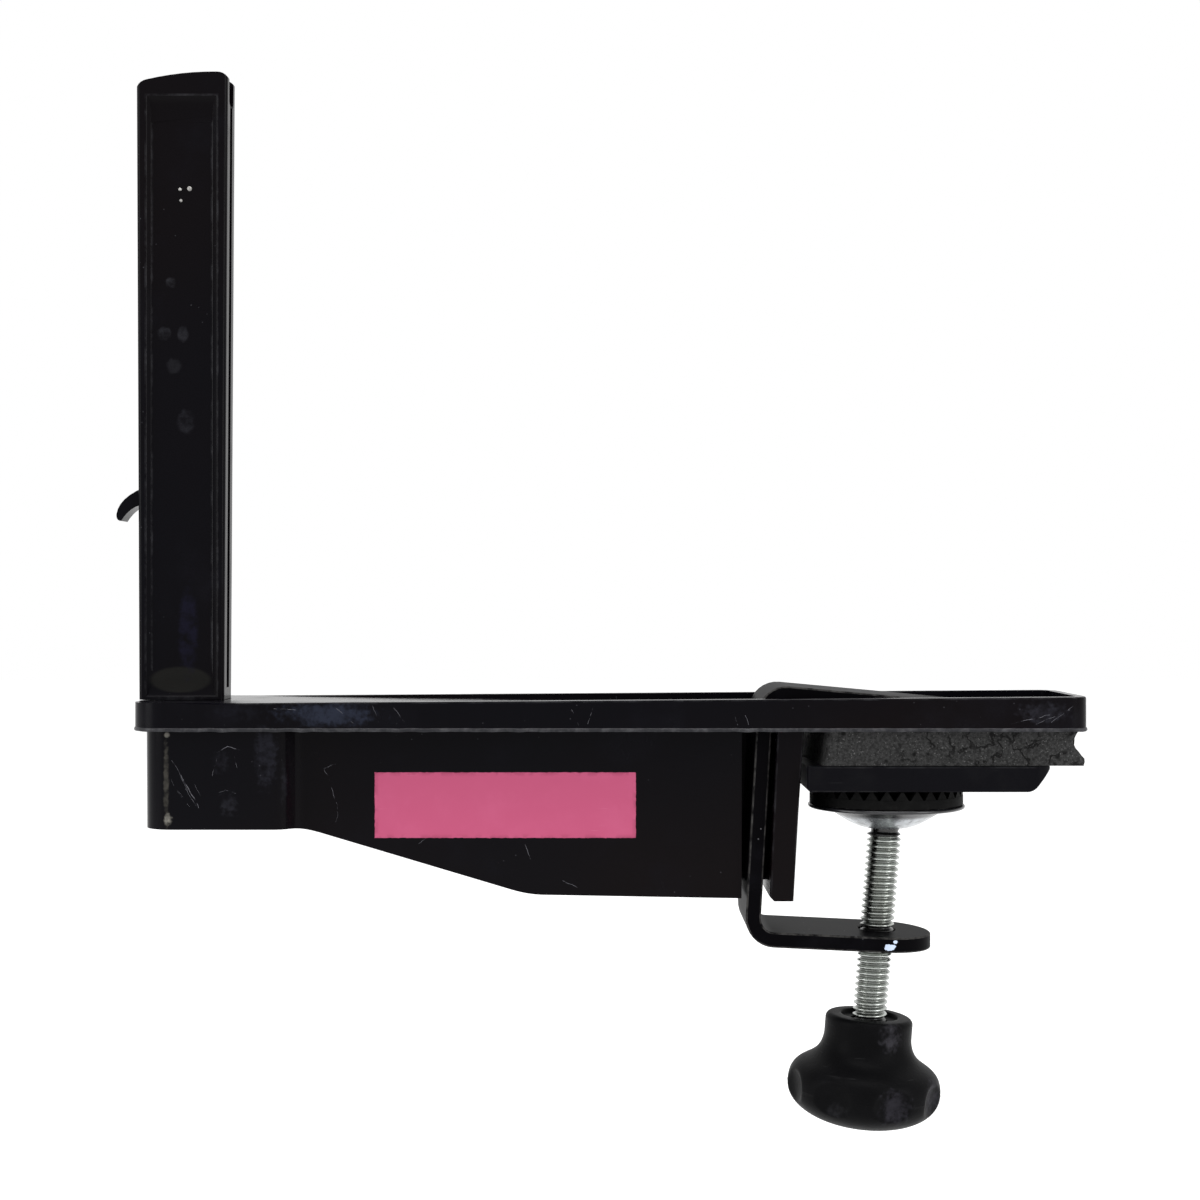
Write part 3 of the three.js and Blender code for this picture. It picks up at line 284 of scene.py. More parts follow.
class Finish:
    """One procedural material, with short calls for the nodes that the finishes share."""

    def __init__(self, name, color, roughness, metallic=0.0, specular=0.5):
        self.material = bpy.data.materials.new(name)
        self.material.use_nodes = True
        self.tree = self.material.node_tree
        self.shader = self.tree.nodes["Principled BSDF"]
        self.color = tuple(color) + (1.0,)
        self.shader.inputs["Base Color"].default_value = self.color
        self.shader.inputs["Roughness"].default_value = roughness
        self.shader.inputs["Metallic"].default_value = metallic
        self.shader.inputs["Specular IOR Level"].default_value = specular
        self.place = self.add("ShaderNodeTexCoord").outputs["Object"]
        self.wavy = self.ragged = None

    def add(self, kind, **settings):
        node = self.tree.nodes.new(kind)
        for key, value in settings.items():
            setattr(node, key, value)
        return node

    def feed(self, node, *in_order, **by_name):
        """Sets or links a node's sockets: the first ones in order, others by their names."""
        pairs = list(zip(node.inputs, in_order))
        pairs += [(node.inputs[name.replace("_", " ")], v) for name, v in by_name.items()]
        for socket, value in pairs:
            if isinstance(value, bpy.types.NodeSocket):
                self.tree.links.new(value, socket)
            else:
                socket.default_value = value
        return node

    def stretched(self, scale, turn=(0, 0, 0)):
        node = self.add("ShaderNodeMapping")
        self.feed(node, Vector=self.place, Scale=scale, Rotation=turn)
        return node.outputs["Vector"]

    def noise(self, scale, detail=3.0, rough=0.5, vector=None):
        node = self.add("ShaderNodeTexNoise")
        self.feed(node, Vector=vector or self.place, Scale=scale, Detail=detail, Roughness=rough)
        return node.outputs["Fac"]

    def cells(self, scale):
        node = self.add("ShaderNodeTexVoronoi", feature="F1")
        self.feed(node, Vector=self.place, Scale=scale)
        return node.outputs["Distance"]

    def between(self, value, low, high):
        """0 at low, 1 at high, with a smooth turn at both."""
        node = self.add("ShaderNodeMapRange", interpolation_type="SMOOTHSTEP")
        self.feed(node, Value=value, From_Min=low, From_Max=high)
        return node.outputs["Result"]

    def calc(self, operation, *values):
        node = self.add("ShaderNodeMath", operation=operation)
        return self.feed(node, *values).outputs["Value"]

    def most(self, values):
        total = values[0]
        for value in values[1:]:
            total = self.calc("MAXIMUM", total, value)
        return total

    def mixed(self, share, first, second):
        node = self.add("ShaderNodeMix", data_type="RGBA")
        self.feed(node, Factor=share)
        for socket, value in ((node.inputs[6], first), (node.inputs[7], second)):
            if isinstance(value, bpy.types.NodeSocket):
                self.tree.links.new(value, socket)
            else:
                socket.default_value = value
        return node.outputs[2]

    def along(self, direction):
        """Distance of the shaded point along a direction, in metres."""
        node = self.add("ShaderNodeVectorMath", operation="DOT_PRODUCT")
        return self.feed(node, self.place, tuple(direction)).outputs["Value"]

    def near_point(self, point, radius, stretch=(1, 1, 1), uneven=0.9):
        """1 at a point, 0 beyond a radius, with a more or less uneven edge."""
        mapping = self.add("ShaderNodeMapping", vector_type="POINT")
        offset = tuple(-point[i] * stretch[i] for i in range(3))
        self.feed(mapping, Vector=self.place, Location=offset, Scale=stretch)
        length = self.add("ShaderNodeVectorMath", operation="LENGTH")
        self.feed(length, mapping.outputs["Vector"])
        if self.ragged is None:
            self.ragged = self.noise(900, 2)
        edge = self.calc("MULTIPLY_ADD", self.ragged, radius * uneven, length.outputs["Value"])
        soft = 0.1 + uneven * 0.17
        return self.between(edge, radius * (1 + soft), radius * (1 - soft))

    def smudged_and_lit(self, tone, patches):
        """Lays soft patches over a colour: place, radius, stretch, share, colour, unevenness.
        The patches are smudges and haze, and painted highlights, reflections and sheen.
        """
        grain = self.between(self.noise(260, 4, 0.65), 0.3, 0.62)
        for point, radius, stretch, share, color, uneven in patches:
            place = self.near_point(Vector(point) * MM, radius * MM, stretch, uneven)
            weight = self.calc("MULTIPLY", place, share)
            if uneven > 0.4:
                weight = self.calc("MULTIPLY", weight, grain)
            tone = self.mixed(weight, tone, color)
        return tone

    def fine_line(self, start, end, width):
        """A fine line on the near face, between two (X, Z) places in millimetres; it draws scratches
        and painted glints.
        """
        if self.wavy is None:
            drift = self.add("ShaderNodeTexNoise")
            self.feed(drift, Vector=self.place, Scale=210.0, Detail=3.0)
            shift = self.add("ShaderNodeVectorMath", operation="MULTIPLY_ADD")
            self.feed(shift, drift.outputs["Color"], (SCRATCH_DRIFT,) * 3, self.place)
            self.wavy = shift.outputs["Vector"]
        drifted = Vector((SCRATCH_DRIFT / 2, 0, SCRATCH_DRIFT / 2))
        first = Vector((start[0], 0, start[1])) * MM + drifted
        run = Vector((end[0], 0, end[1])) * MM + drifted - first
        ahead = run.normalized()
        aside = Vector((ahead.z, 0, -ahead.x))
        middle = first + run / 2
        share = self.within(ahead, middle, run.length / 2)
        return self.calc("MULTIPLY", share, self.within(aside, middle, width * 0.45 * MM))

    def within(self, direction, middle, reach):
        """1 where a point lies within a reach of a middle, measured along a direction."""
        node = self.add("ShaderNodeVectorMath", operation="DOT_PRODUCT")
        self.feed(node, self.wavy, tuple(direction))
        return self.calc("COMPARE", node.outputs["Value"], direction.dot(middle), reach)

    def streaks(self, angle, seed, fine=2600, long=70, level=0.70):
        """Fine parallel scuffs in the upright plane, turned by an angle."""
        turned = self.stretched((long, 200, fine), (0, math.radians(angle), 0))
        shift = self.add("ShaderNodeVectorMath", operation="ADD")
        self.feed(shift, turned, (seed, seed * 1.7, seed * 0.6))
        lines = self.between(self.noise(1, 2, 0.55, shift.outputs["Vector"]), level, level + 0.03)
        patch = self.between(self.noise(75 + seed, 2), 0.52, 0.64)
        return self.calc("MULTIPLY", lines, patch)

    def attribute(self, name):
        return self.add("ShaderNodeAttribute", attribute_name=name).outputs["Fac"]

    def bump(self, height, strength, distance, below=None):
        node = self.add("ShaderNodeBump")
        self.feed(node, Height=height, Strength=strength, Distance=distance)
        if below:
            self.feed(node, Normal=below)
        return node.outputs["Normal"]

    def finish(self, color=None, roughness=None, normal=None, metallic=None):
        for name, socket in (("Base Color", color), ("Roughness", roughness),
                             ("Normal", normal), ("Metallic", metallic)):
            if socket is not None:
                self.tree.links.new(socket, self.shader.inputs[name])
        return self.material


def gloss_plastic(name, scratches_and_glints=(), patches=()):
    """Gloss black moulding: dust haze, fine scuffs, worn edges, the given long scratches and painted
    glints, and the given patches of smudges and painted highlights and reflections.
    """
    f = Finish(name, colors().gloss_black, 0.2, specular=0.05)
    haze = f.between(f.noise(38, 5, 0.6), 0.5, 0.78)
    cast = f.between(f.noise(9, 2), 0.38, 0.66)
    specks = f.between(f.cells(520), 0.1, 0.05)
    specks = f.calc("MULTIPLY", specks, f.between(f.noise(60, 2), 0.55, 0.62))
    scuffs = f.most([f.streaks(-58, 3.1, level=0.76), f.streaks(80, 14.2, level=0.76)])
    near = f.between(f.along((0, -1, 0)), 8 * MM, 9 * MM)
    # Scratches, and on the post painted glints along edges, as fine lines on the near face.
    marks = [f.fine_line(*s) for s in scratches_and_glints]
    if marks:
        broken = f.calc("MULTIPLY", f.between(f.noise(620, 3), 0.4, 0.6), 0.8)
        marks = [f.calc("MULTIPLY", f.calc("MULTIPLY", f.most(marks), broken), near)]
    lines = f.most([f.calc("MULTIPLY", scuffs, 0.07)] + marks)
    worn = f.calc("MULTIPLY", f.attribute("wear"), f.between(f.noise(160, 4, 0.7), 0.4, 0.75))
    tone = f.mixed(cast, f.color, (0.0036, 0.0022, 0.0026, 1))
    tone = f.mixed(f.calc("MULTIPLY", haze, 0.4), tone, (0.0068, 0.0068, 0.0105, 1))
    # Smudges, and painted highlights and reflections, laid as patches.
    tone = f.smudged_and_lit(tone, patches)
    tone = f.mixed(f.calc("MULTIPLY", worn, 0.3), tone, (0.07, 0.07, 0.078, 1))
    tone = f.mixed(f.calc("MAXIMUM", f.calc("MULTIPLY", specks, 0.2), lines), tone,
                   (0.17, 0.17, 0.19, 1))
    rough = f.calc("MULTIPLY_ADD", haze, 0.22, 0.17)
    rough = f.calc("MULTIPLY_ADD", lines, 0.35, rough)
    ripple = f.bump(f.noise(55, 2), 0.12, 0.35 * MM)
    grooves = f.bump(f.calc("SUBTRACT", 1.0, lines), 0.35, 0.05 * MM, ripple)
    return f.finish(tone, rough, grooves)


def satin_plastic(name, color, grain=1500, roughness=0.46, specular=0.03, patches=()):
    """Satin black moulding with a fine grain and rubbed high spots, and any given patches of painted
    sheen.
    """
    f = Finish(name, color, roughness, specular=specular)
    haze = f.between(f.noise(70, 5, 0.62), 0.45, 0.75)
    scuffs = f.most([f.streaks(35, 5.3, level=0.68), f.streaks(-20, 11.9, level=0.68)])
    worn = f.calc("MULTIPLY", f.attribute("wear"), f.between(f.noise(240, 4, 0.7), 0.35, 0.7))
    tone = f.mixed(f.calc("MULTIPLY", haze, 0.6), f.color, (0.0075, 0.0075, 0.0085, 1))
    tone = f.smudged_and_lit(tone, patches)
    tone = f.mixed(f.calc("MULTIPLY", f.calc("MAXIMUM", worn, scuffs), 0.15), tone,
                   (0.10, 0.10, 0.105, 1))
    rough = f.add("ShaderNodeMapRange")
    f.feed(rough, Value=f.noise(130, 4), To_Min=roughness - 0.1, To_Max=roughness + 0.16)
    pits = f.bump(f.noise(grain, 3, 0.6), 0.6, 0.08 * MM)
    return f.finish(tone, rough.outputs["Result"], pits)


def black_paint(name, chips=(), roughness=0.42):
    """Gloss black paint on steel, with orange peel and chips down to bare metal."""
    f = Finish(name, colors().paint_black, roughness, specular=0.015)
    haze = f.between(f.noise(80, 4, 0.6), 0.5, 0.8)
    specks = f.between(f.cells(420), 0.09, 0.05)
    specks = f.calc("MULTIPLY", specks, f.between(f.noise(90, 2), 0.5, 0.6))
    worn = f.calc("MULTIPLY", f.attribute("wear"), f.between(f.noise(420, 4, 0.7), 0.3, 0.68))
    tone = f.mixed(f.calc("MULTIPLY", haze, 0.35), f.color, (0.009, 0.009, 0.012, 1))
    tone = f.mixed(f.calc("MULTIPLY", worn, 0.4), tone, (0.15, 0.145, 0.14, 1))
    tone = f.mixed(f.calc("MULTIPLY", specks, 0.3), tone, (0.3, 0.3, 0.32, 1))
    peel = f.bump(f.noise(420, 2), 0.1, 0.08 * MM)
    if not chips:
        return f.finish(tone, normal=peel)
    bare = f.most([f.near_point(Vector(p) * MM, r * MM, s) for p, r, s in chips])
    bare = f.between(bare, 0.4, 0.6)
    tone = f.mixed(bare, tone, (0.50, 0.58, 0.72, 1))
    return f.finish(tone, normal=f.bump(f.calc("SUBTRACT", 1.0, bare), 0.5, 0.08 * MM, peel),
                    metallic=bare)


def zinc_plate(name, threaded=False, bands=()):
    """Bright zinc plate. A thread gets painted shade in its roots, and dark bands ring it at the
    given heights.
    """
    f = Finish(name, colors().zinc, 0.24, metallic=1.0)
    stain = f.between(f.noise(210, 4, 0.6), 0.4, 0.75)
    tone = f.mixed(f.calc("MULTIPLY", stain, 0.4), f.color, (0.32, 0.33, 0.29, 1))
    rough = f.add("ShaderNodeMapRange")
    f.feed(rough, Value=f.noise(600, 3), To_Min=0.16, To_Max=0.42)
    rough = rough.outputs["Result"]
    if threaded:
        # Painted shade in the thread's roots.
        root = f.between(f.attribute("depth"), 0.25, 0.9)
        tone = f.mixed(f.calc("MULTIPLY", root, 0.62), tone, (0.03, 0.03, 0.026, 1))
    # Near-black bands round the screw at the given heights; they also take away the metal.
    if bands:
        place = f.along(SCREW_UP)
        band_mask = []
        for low, high in bands:
            edge = f.calc("MULTIPLY_ADD", f.noise(300, 2), 0.9 * MM, place)
            above = f.between(edge, low * MM, (low + 0.25) * MM)
            below = f.between(edge, high * MM, (high - 0.25) * MM)
            band_mask.append(f.calc("MULTIPLY", above, below))
        band_mask = f.most(band_mask)
        tone = f.mixed(band_mask, tone, (0.006, 0.006, 0.006, 1))
        return f.finish(tone, rough, f.bump(f.noise(900, 2), 0.1, 0.03 * MM),
                        f.calc("SUBTRACT", 1.0, band_mask))
    return f.finish(tone, rough, f.bump(f.noise(900, 2), 0.1, 0.03 * MM))


def closed_cell_foam(name):
    """Charcoal foam: a fine grain of painted lit cell walls and shaded hollows, painted shade in dark
    torn pits, and cracks with painted shade towards the table end.
    """
    f = Finish(name, colors().foam_grey, 0.92, specular=0.2)
    fine = f.noise(1500, 3, 0.7)
    cells = f.cells(1150)
    pits = f.between(f.cells(430), 0.34, 0.12)
    pits = f.calc("MULTIPLY", pits, f.between(f.noise(240, 3), 0.48, 0.6))
    # A fine grain mixes painted-shaded and painted-lit copies of the foam grey.
    shaded, lit = (tuple(c * share for c in colors().foam_grey) + (1,) for share in (0.47, 1.53))
    tone = f.mixed(f.between(fine, 0.3, 0.72), shaded, lit)
    tone = f.mixed(f.between(f.noise(2600, 2), 0.63, 0.72), tone, (0.13, 0.13, 0.13, 1))
    # Painted shade in the torn pits.
    tone = f.mixed(pits, tone, (0.004, 0.004, 0.004, 1))
    ridge = f.calc("ABSOLUTE", f.calc("SUBTRACT", f.noise(170, 4, 0.55), 0.5))
    torn = f.calc("MULTIPLY", f.between(f.noise(110, 2), 0.44, 0.54),
                  f.between(f.along((1, 0, 0)), -9 * MM, 8 * MM))
    cracks = f.calc("MULTIPLY", f.between(ridge, 0.027, 0.010), torn)
    # Painted shade in the cracks.
    tone = f.mixed(cracks, tone, (0.006, 0.006, 0.006, 1))
    height = f.calc("SUBTRACT", f.calc("ADD", f.calc("MULTIPLY", fine, 0.6), cells),
                    f.calc("MULTIPLY", f.calc("MAXIMUM", pits, cracks), 1.6))
    return f.finish(tone, normal=f.bump(height, 0.8, 0.25 * MM))


def dark_rubber(name):
    """Dull black rubber with a dusty bloom."""
    f = Finish(name, colors().rubber_black, 0.62, specular=0.06)
    bloom = f.between(f.noise(420, 5, 0.7), 0.45, 0.72)
    worn = f.calc("MULTIPLY", f.attribute("wear"), f.between(f.noise(600, 3), 0.4, 0.6))
    tone = f.mixed(f.calc("MULTIPLY", bloom, 0.5), f.color, (0.0095, 0.0095, 0.0092, 1))
    tone = f.mixed(f.calc("MULTIPLY", worn, 0.4), tone, (0.06, 0.06, 0.058, 1))
    return f.finish(tone, normal=f.bump(f.noise(1300, 3), 0.4, 0.06 * MM))


def label_film(name):
    """Printed film without print: even pink, slightly faded and scuffed at its edges."""
    f = Finish(name, colors().label_pink, 0.5, specular=0.3)
    faded = f.between(f.noise(120, 4, 0.6), 0.4, 0.75)
    tone = f.mixed(f.calc("MULTIPLY", faded, 0.35), f.color, (0.60, 0.115, 0.235, 1))
    scuffs = f.most([f.streaks(8, 21.4, level=0.69), f.streaks(-40, 2.6, level=0.7)])
    tone = f.mixed(f.calc("MULTIPLY", scuffs, 0.3), tone, (0.75, 0.4, 0.5, 1))
    rim = f.calc("MULTIPLY", f.attribute("rim"), f.between(f.noise(500, 3), 0.42, 0.6))
    tone = f.mixed(f.calc("MULTIPLY", rim, 0.5), tone, (0.28, 0.03, 0.08, 1))
    return f.finish(tone, normal=f.bump(f.noise(900, 3), 0.25, 0.03 * MM))


# ---- Bracket ----

# Long scratches on the near side: start and end as (X, Z), then the half width, in millimetres.
BOSS_SCRATCHES = (
    ((-162.8, -2.2), (-158.8, -9.7), 0.17), ((-164.6, 1.2), (-161.4, -5.6), 0.08),
    ((-165.2, -2.8), (-162.3, -8.2), 0.06), ((-161.9, -5.2), (-159.6, -9.2), 0.08),
    ((-164.1, -4.8), (-161.0, -9.4), 0.05), ((-159.6, -4.4), (-158.2, -7.8), 0.05),
    ((-154.9, 2.6), (-152.4, 4.2), 0.12), ((-152.4, 4.2), (-149.6, 3.4), 0.13),
    ((-154.6, 1.6), (-155.4, -2.4), 0.07), ((-150.6, 2.2), (-149.8, -0.6), 0.07),
    ((-154.8, -6.6), (-152.6, -5.4), 0.09), ((-152.6, -5.4), (-150.4, -6.4), 0.07),
)
ARM_SCRATCHES = (
    ((-131.0, -1.2), (-127.8, -9.6), 0.08), ((-131.2, -1.0), (-128.4, -0.2), 0.09),
    ((-127.8, -9.6), (-128.4, -13.4), 0.06), ((-85.2, -18.6), (-84.0, -21.8), 0.10),
    ((-76.4, -27.0), (-73.0, -28.6), 0.09), ((-109.4, -18.4), (-107.6, -17.0), 0.08),
)
RIM_SCRATCHES = (
    ((-127.4, 13.2), (-123.4, 9.6), 0.09), ((-119.2, 13.6), (-117.6, 9.9), 0.08),
    ((-114.6, 13.2), (-112.0, 10.0), 0.08), ((-141.2, 12.9), (-135.6, 12.5), 0.10),
    ((-74.6, 13.0), (-72.8, 9.4), 0.07), ((-69.6, 13.2), (-70.6, 9.6), 0.08),
    ((-37.6, 11.6), (-37.0, 9.2), 0.08), ((-35.4, 11.4), (-34.6, 9.4), 0.07),
    ((24.0, 9.4), (33.2, 11.6), 0.10), ((30.0, 9.6), (37.6, 12.6), 0.09),
    ((33.6, 10.0), (39.4, 14.2), 0.08),
)
# Patches: point, radius, stretch of the space, share, colour and unevenness. The first two are a
# painted bluish reflection along the rim, the next three a painted highlight down the boss's rounded
# corner with brighter painted spots at its foot and top, and the others are smudges and marks.
BRACKET_SMUDGES_AND_PAINTED_LIGHT = (
    # Painted reflection along the rim.
    ((-130, -18, 11.6), 17, (1, 1, 4.2), 0.9, (0.022, 0.026, 0.042, 1), 0.9),
    ((-150, -18, 11.8), 9, (1, 1, 3.4), 0.5, (0.010, 0.010, 0.015, 1), 0.9),
    # Painted highlight down the boss's rounded corner, brighter at its foot and top.
    ((-166.1, -15.7, -3.4), 1.3, (1.3, 0.2, 0.09), 0.8, (0.062, 0.058, 0.050, 1), 0.9),
    ((-165.9, -15.7, -12.2), 1.5, (1.0, 0.2, 0.8), 0.9, (0.26, 0.25, 0.22, 1), 0.9),
    ((-165.9, -15.7, 6.9), 1.0, (1.0, 0.2, 1.0), 0.9, (0.20, 0.19, 0.17, 1), 0.9),
    # Smudges and marks.
    ((-143.6, -15.7, 2.4), 5.0, (1.3, 0.6, 0.45), 0.8, (0.017, 0.017, 0.024, 1), 0.9),
    ((-139.4, -15.7, -4.4), 2.0, (1.6, 0.6, 0.25), 0.7, (0.016, 0.016, 0.021, 1), 0.9),
    ((-152.0, -15.7, -8.8), 4.0, (1.0, 0.6, 0.8), 0.7, (0.020, 0.020, 0.026, 1), 1.4),
    ((-153.6, -15.7, 0.8), 3.4, (0.9, 0.6, 0.7), 0.5, (0.016, 0.016, 0.022, 1), 1.4),
    ((-129.0, -15.7, -0.9), 1.4, (0.6, 0.6, 1.2), 0.9, (0.060, 0.060, 0.066, 1), 0.6),
    ((32, -18, 12), 8, (0.8, 0.6, 1.9), 0.7, (0.026, 0.026, 0.034, 1), 1.2),
)
BOSS_END = -147.5 * MM
RIM_EDGES_ABOVE = 9.5 * MM      # edges of the plate's skirt below this stay sharp
RIM_EDGES_INSET = 2.3 * MM      # how far in from the outline the rim's edges lie
STOP_SPAN = (-30 * MM, -20 * MM)
STOP_SIDE = 14 * MM             # the stop's upright edges lie further out than this
LABEL_X = (-119.5, -59.8)
LABEL_Z = (-17.0, -2.0)
LABEL_GRID = (120, 30)
LABEL_LIFT = 0.07 * MM          # mean thickness of the film over the arm
LABEL_FRAY = 0.12 * MM          # how ragged its cut edge is


def edge_is_shown(edge):
    """True on the outer edges of the rim and the stop, false on those inside the hollows."""
    first, second = (v.co for v in edge.verts)
    middle = (first + second) / 2
    low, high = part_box("bracket")
    if middle.z > RIM_EDGES_ABOVE and middle.x > BOSS_END:
        inset = min(middle.x - low.x, high.x - middle.x, middle.y - low.y, high.y - middle.y)
        return inset < RIM_EDGES_INSET
    on_stop = STOP_SPAN[0] < middle.x < STOP_SPAN[1] and abs(middle.y) > STOP_SIDE
    return on_stop and abs(first.z - second.z) > 5 * MM


class CLAMP_OT_bracket(bpy.types.Operator):
    """Dresses the bracket: rounded rim, worn gloss moulding with painted highlights and reflections,
    and parting flash with a painted highlight
    """

    bl_idname = "clamp.bracket"
    bl_label = "Bracket"

    def execute(self, context):
        finish = gloss_plastic(
            "bracket_gloss", BOSS_SCRATCHES + ARM_SCRATCHES + RIM_SCRATCHES, BRACKET_SMUDGES_AND_PAINTED_LIGHT,
        )
        shell = rounded_copy("bracket", sizes().moulded_edge, corner=50, keep=edge_is_shown)
        add_piece("bracket_moulding", shell, "frame", finish,
                  ("bracket",), sharp=32, weighted=True)
        self.flash(finish)
        return {"FINISHED"}

    def flash(self, finish):
        """The thin uneven lip that the mould's parting line leaves round the rim's lower edge."""
        low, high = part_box("bracket")
        outer, table, base = 8.0 * MM, 5.0 * MM, 7.8 * MM
        path = []
        corners = (
            (low.x + outer, low.y + outer, outer, 180), (high.x - table, low.y + table, table, 270),
            (high.x - table, high.y - table, table, 0), (low.x + outer, high.y - outer, outer, 90),
        )
        for x, y, radius, start in corners:
            for i in range(13):
                turn = math.radians(start + 90 * i / 12)
                way = Vector((math.cos(turn), math.sin(turn), 0))
                path.append((Vector((x, y, 0)) + way * radius, way))
        stations = []
        for (point, way), (after, next_way) in zip(path, path[1:] + path[:1]):
            count = max(1, round((after - point).length / (0.9 * MM)))
            for i in range(count):
                share = i / count
                stations.append((point.lerp(after, share), way.lerp(next_way, share).normalized()))
        rings = []
        for point, way in stations:
            wave = noise.noise(point * 260) * 0.5 + noise.noise(point * 900) * 0.5
            reach = sizes().flash_reach * (1 + 0.9 * wave)
            lift = 0.16 * MM * noise.noise(point * 330 + Vector((4, 0, 0)))
            section = ((-0.15, -0.02, 0), (0.6, -0.05, 1), (1.0, 0.12, 1), (0.9, 0.42, 1),
                       (0.35, 0.72, 1), (-0.15, 0.8, 0))
            rings.append([
                point + way * (reach * out if free else -0.1 * MM)
                + Vector((0, 0, base + up * MM + lift * free))
                for out, up, free in section
            ])
        rings.append(rings[0])
        lip = grid_shell(rings, closed_ends=False)
        bmesh.ops.remove_doubles(lip, verts=lip.verts, dist=0.001 * MM)
        add_piece("rim_flash", lip, "frame", lit_flash_plastic(), sharp=60)


def lit_flash_plastic():
    """The same moulding where it is thin and rubbed: greyer and duller, its grey also a painted
    highlight along the lit lip.
    """
    f = Finish("lit_flash_plastic", (0.014, 0.014, 0.017), 0.42, specular=0.2)
    rubbed = f.between(f.noise(420, 4, 0.7), 0.4, 0.72)
    # Painted highlight: the lighter grey stands for light on the lip as well as rubbed plastic.
    tone = f.mixed(rubbed, f.color, (0.055, 0.055, 0.06, 1))
    return f.finish(tone, normal=f.bump(f.noise(1100, 3), 0.3, 0.05 * MM))


class CLAMP_OT_label(bpy.types.Operator):
    """Lays the bare pink label on the near side of the arm"""

    bl_idname = "clamp.label"
    bl_label = "Label"

    def execute(self, context):
        mesh = frame["nodes"]["bracket"].data
        skin = BVHTree.FromPolygons([v.co for v in mesh.vertices],
                                    [p.vertices for p in mesh.polygons])
        columns, rows = LABEL_GRID
        front, back = [], []
        mesh_data = bmesh.new()
        rim = mesh_data.verts.layers.float.new("rim")
        for j in range(rows + 1):
            for i in range(columns + 1):
                u, v = i / columns, j / rows
                x = (LABEL_X[0] + (LABEL_X[1] - LABEL_X[0]) * u) * MM
                z = (LABEL_Z[0] + (LABEL_Z[1] - LABEL_Z[0]) * v) * MM
                place = skin.ray_cast(Vector((x, -0.1, z)), Vector((0, 1, 0)))[0]
                if place is None:
                    raise RuntimeError("the label lies beyond the arm")
                edge = min(u * columns, (1 - u) * columns, v * rows, (1 - v) * rows)
                ragged = noise.noise(Vector((x, 0, z)) * 1400) * LABEL_FRAY
                outward = Vector((0, 0, 0))
                if edge == 0:
                    outward = Vector(((u > 0.5) - (u < 0.5), 0, (v > 0.5) - (v < 0.5))) * ragged
                lift = LABEL_LIFT + 0.03 * MM * noise.noise(Vector((x, 3, z)) * 260)
                vertex = mesh_data.verts.new(place + outward + Vector((0, -lift, 0)))
                vertex[rim] = 1.0 - smoothstep(0, 2, edge)
                front.append(vertex)
                vertex = mesh_data.verts.new(place + outward + Vector((0, 0.05 * MM, 0)))
                back.append(vertex)
        width = columns + 1
        for j in range(rows):
            for i in range(columns):
                a = j * width + i
                quad = (a, a + 1, a + 1 + width, a + width)
                mesh_data.faces.new([front[k] for k in quad])
                mesh_data.faces.new([back[k] for k in reversed(quad)])
        loop = [i for i in range(columns)]
        loop += [columns + j * width for j in range(rows)]
        loop += [rows * width + i for i in range(columns, 0, -1)]
        loop += [j * width for j in range(rows, 0, -1)]
        for a, b in zip(loop, loop[1:] + loop[:1]):
            mesh_data.faces.new((front[b], front[a], back[a], back[b]))
        bmesh.ops.recalc_face_normals(mesh_data, faces=mesh_data.faces)
        add_piece("label", mesh_data, "frame", label_film("label_film"),
                  sharp=50)
        return {"FINISHED"}


# ---- Post ----

# Scratches, and painted glints along the trough's top edges at Z 154 and 148, in the same columns as
# the bracket's scratches. The near-face mask in gloss_plastic, 8 mm out on -Y, keeps them off the
# post's faces.
POST_SCRATCHES_AND_GLINTS = (
    ((-164.2, 65.8), (-162.0, 66.2), 0.14), ((-163.6, 61.9), (-161.9, 62.6), 0.08),
    # Painted glints along the trough's top edges.
    ((-172.2, 154.1), (-167.4, 154.4), 0.16), ((-170.8, 148.0), (-166.0, 147.9), 0.18),
    ((-163.9, 147.5), (-163.4, 147.4), 0.20), ((-168.8, 140.2), (-168.6, 126.0), 0.04),
)
# Painted reflection: the lighter tone of the dish at the foot of each panel, where its curve catches
# the light.
DISH_SHEEN_TONE = (0.0115, 0.0112, 0.0102, 1)
DISH_MIDDLE = (-165.4 * MM, 19.1 * MM)      # X and Z of the dish at the foot of each panel
DISH_REACH = (6.9 * MM, 2.7 * MM)
DISH_SHARE = 0.3        # how much of its depth the dish keeps
GATE_BEADS = ((-165.5, 132.7, 0.42), (-163.3, 132.9, 0.55), (-165.3, 130.1, 0.36))
PANEL_FACE = -3.85 * MM
POST_SMUDGES_AND_SHEEN = (
    # Painted reflection in the foot dish; the rest are smudges and haze.
    ((-165.4, -3.8, 18.9), 7.1, (1, 0.2, 2.35), 0.9, DISH_SHEEN_TONE, 0.05),
    ((-167.7, -3.8, 111.1), 1.5, (1, 0.3, 1), 0.8, (0.022, 0.022, 0.026, 1), 0.5),
    ((-169.2, -3.8, 99.2), 2.0, (1, 0.3, 1), 0.8, (0.018, 0.018, 0.022, 1), 0.5),
    ((-164.8, -3.8, 99.2), 2.0, (1.2, 0.3, 0.9), 0.8, (0.019, 0.019, 0.023, 1), 0.5),
    ((-166.9, -3.8, 91.7), 2.2, (1, 0.3, 1), 0.6, (0.015, 0.015, 0.018, 1), 0.5),
    ((-164.1, -3.8, 78.8), 2.8, (1.1, 0.3, 0.8), 0.7, (0.016, 0.016, 0.020, 1), 0.5),
    ((-163.6, -3.8, 30), 9, (3.2, 0.3, 0.7), 0.6, (0.009, 0.0085, 0.021, 1), 0.5),
)


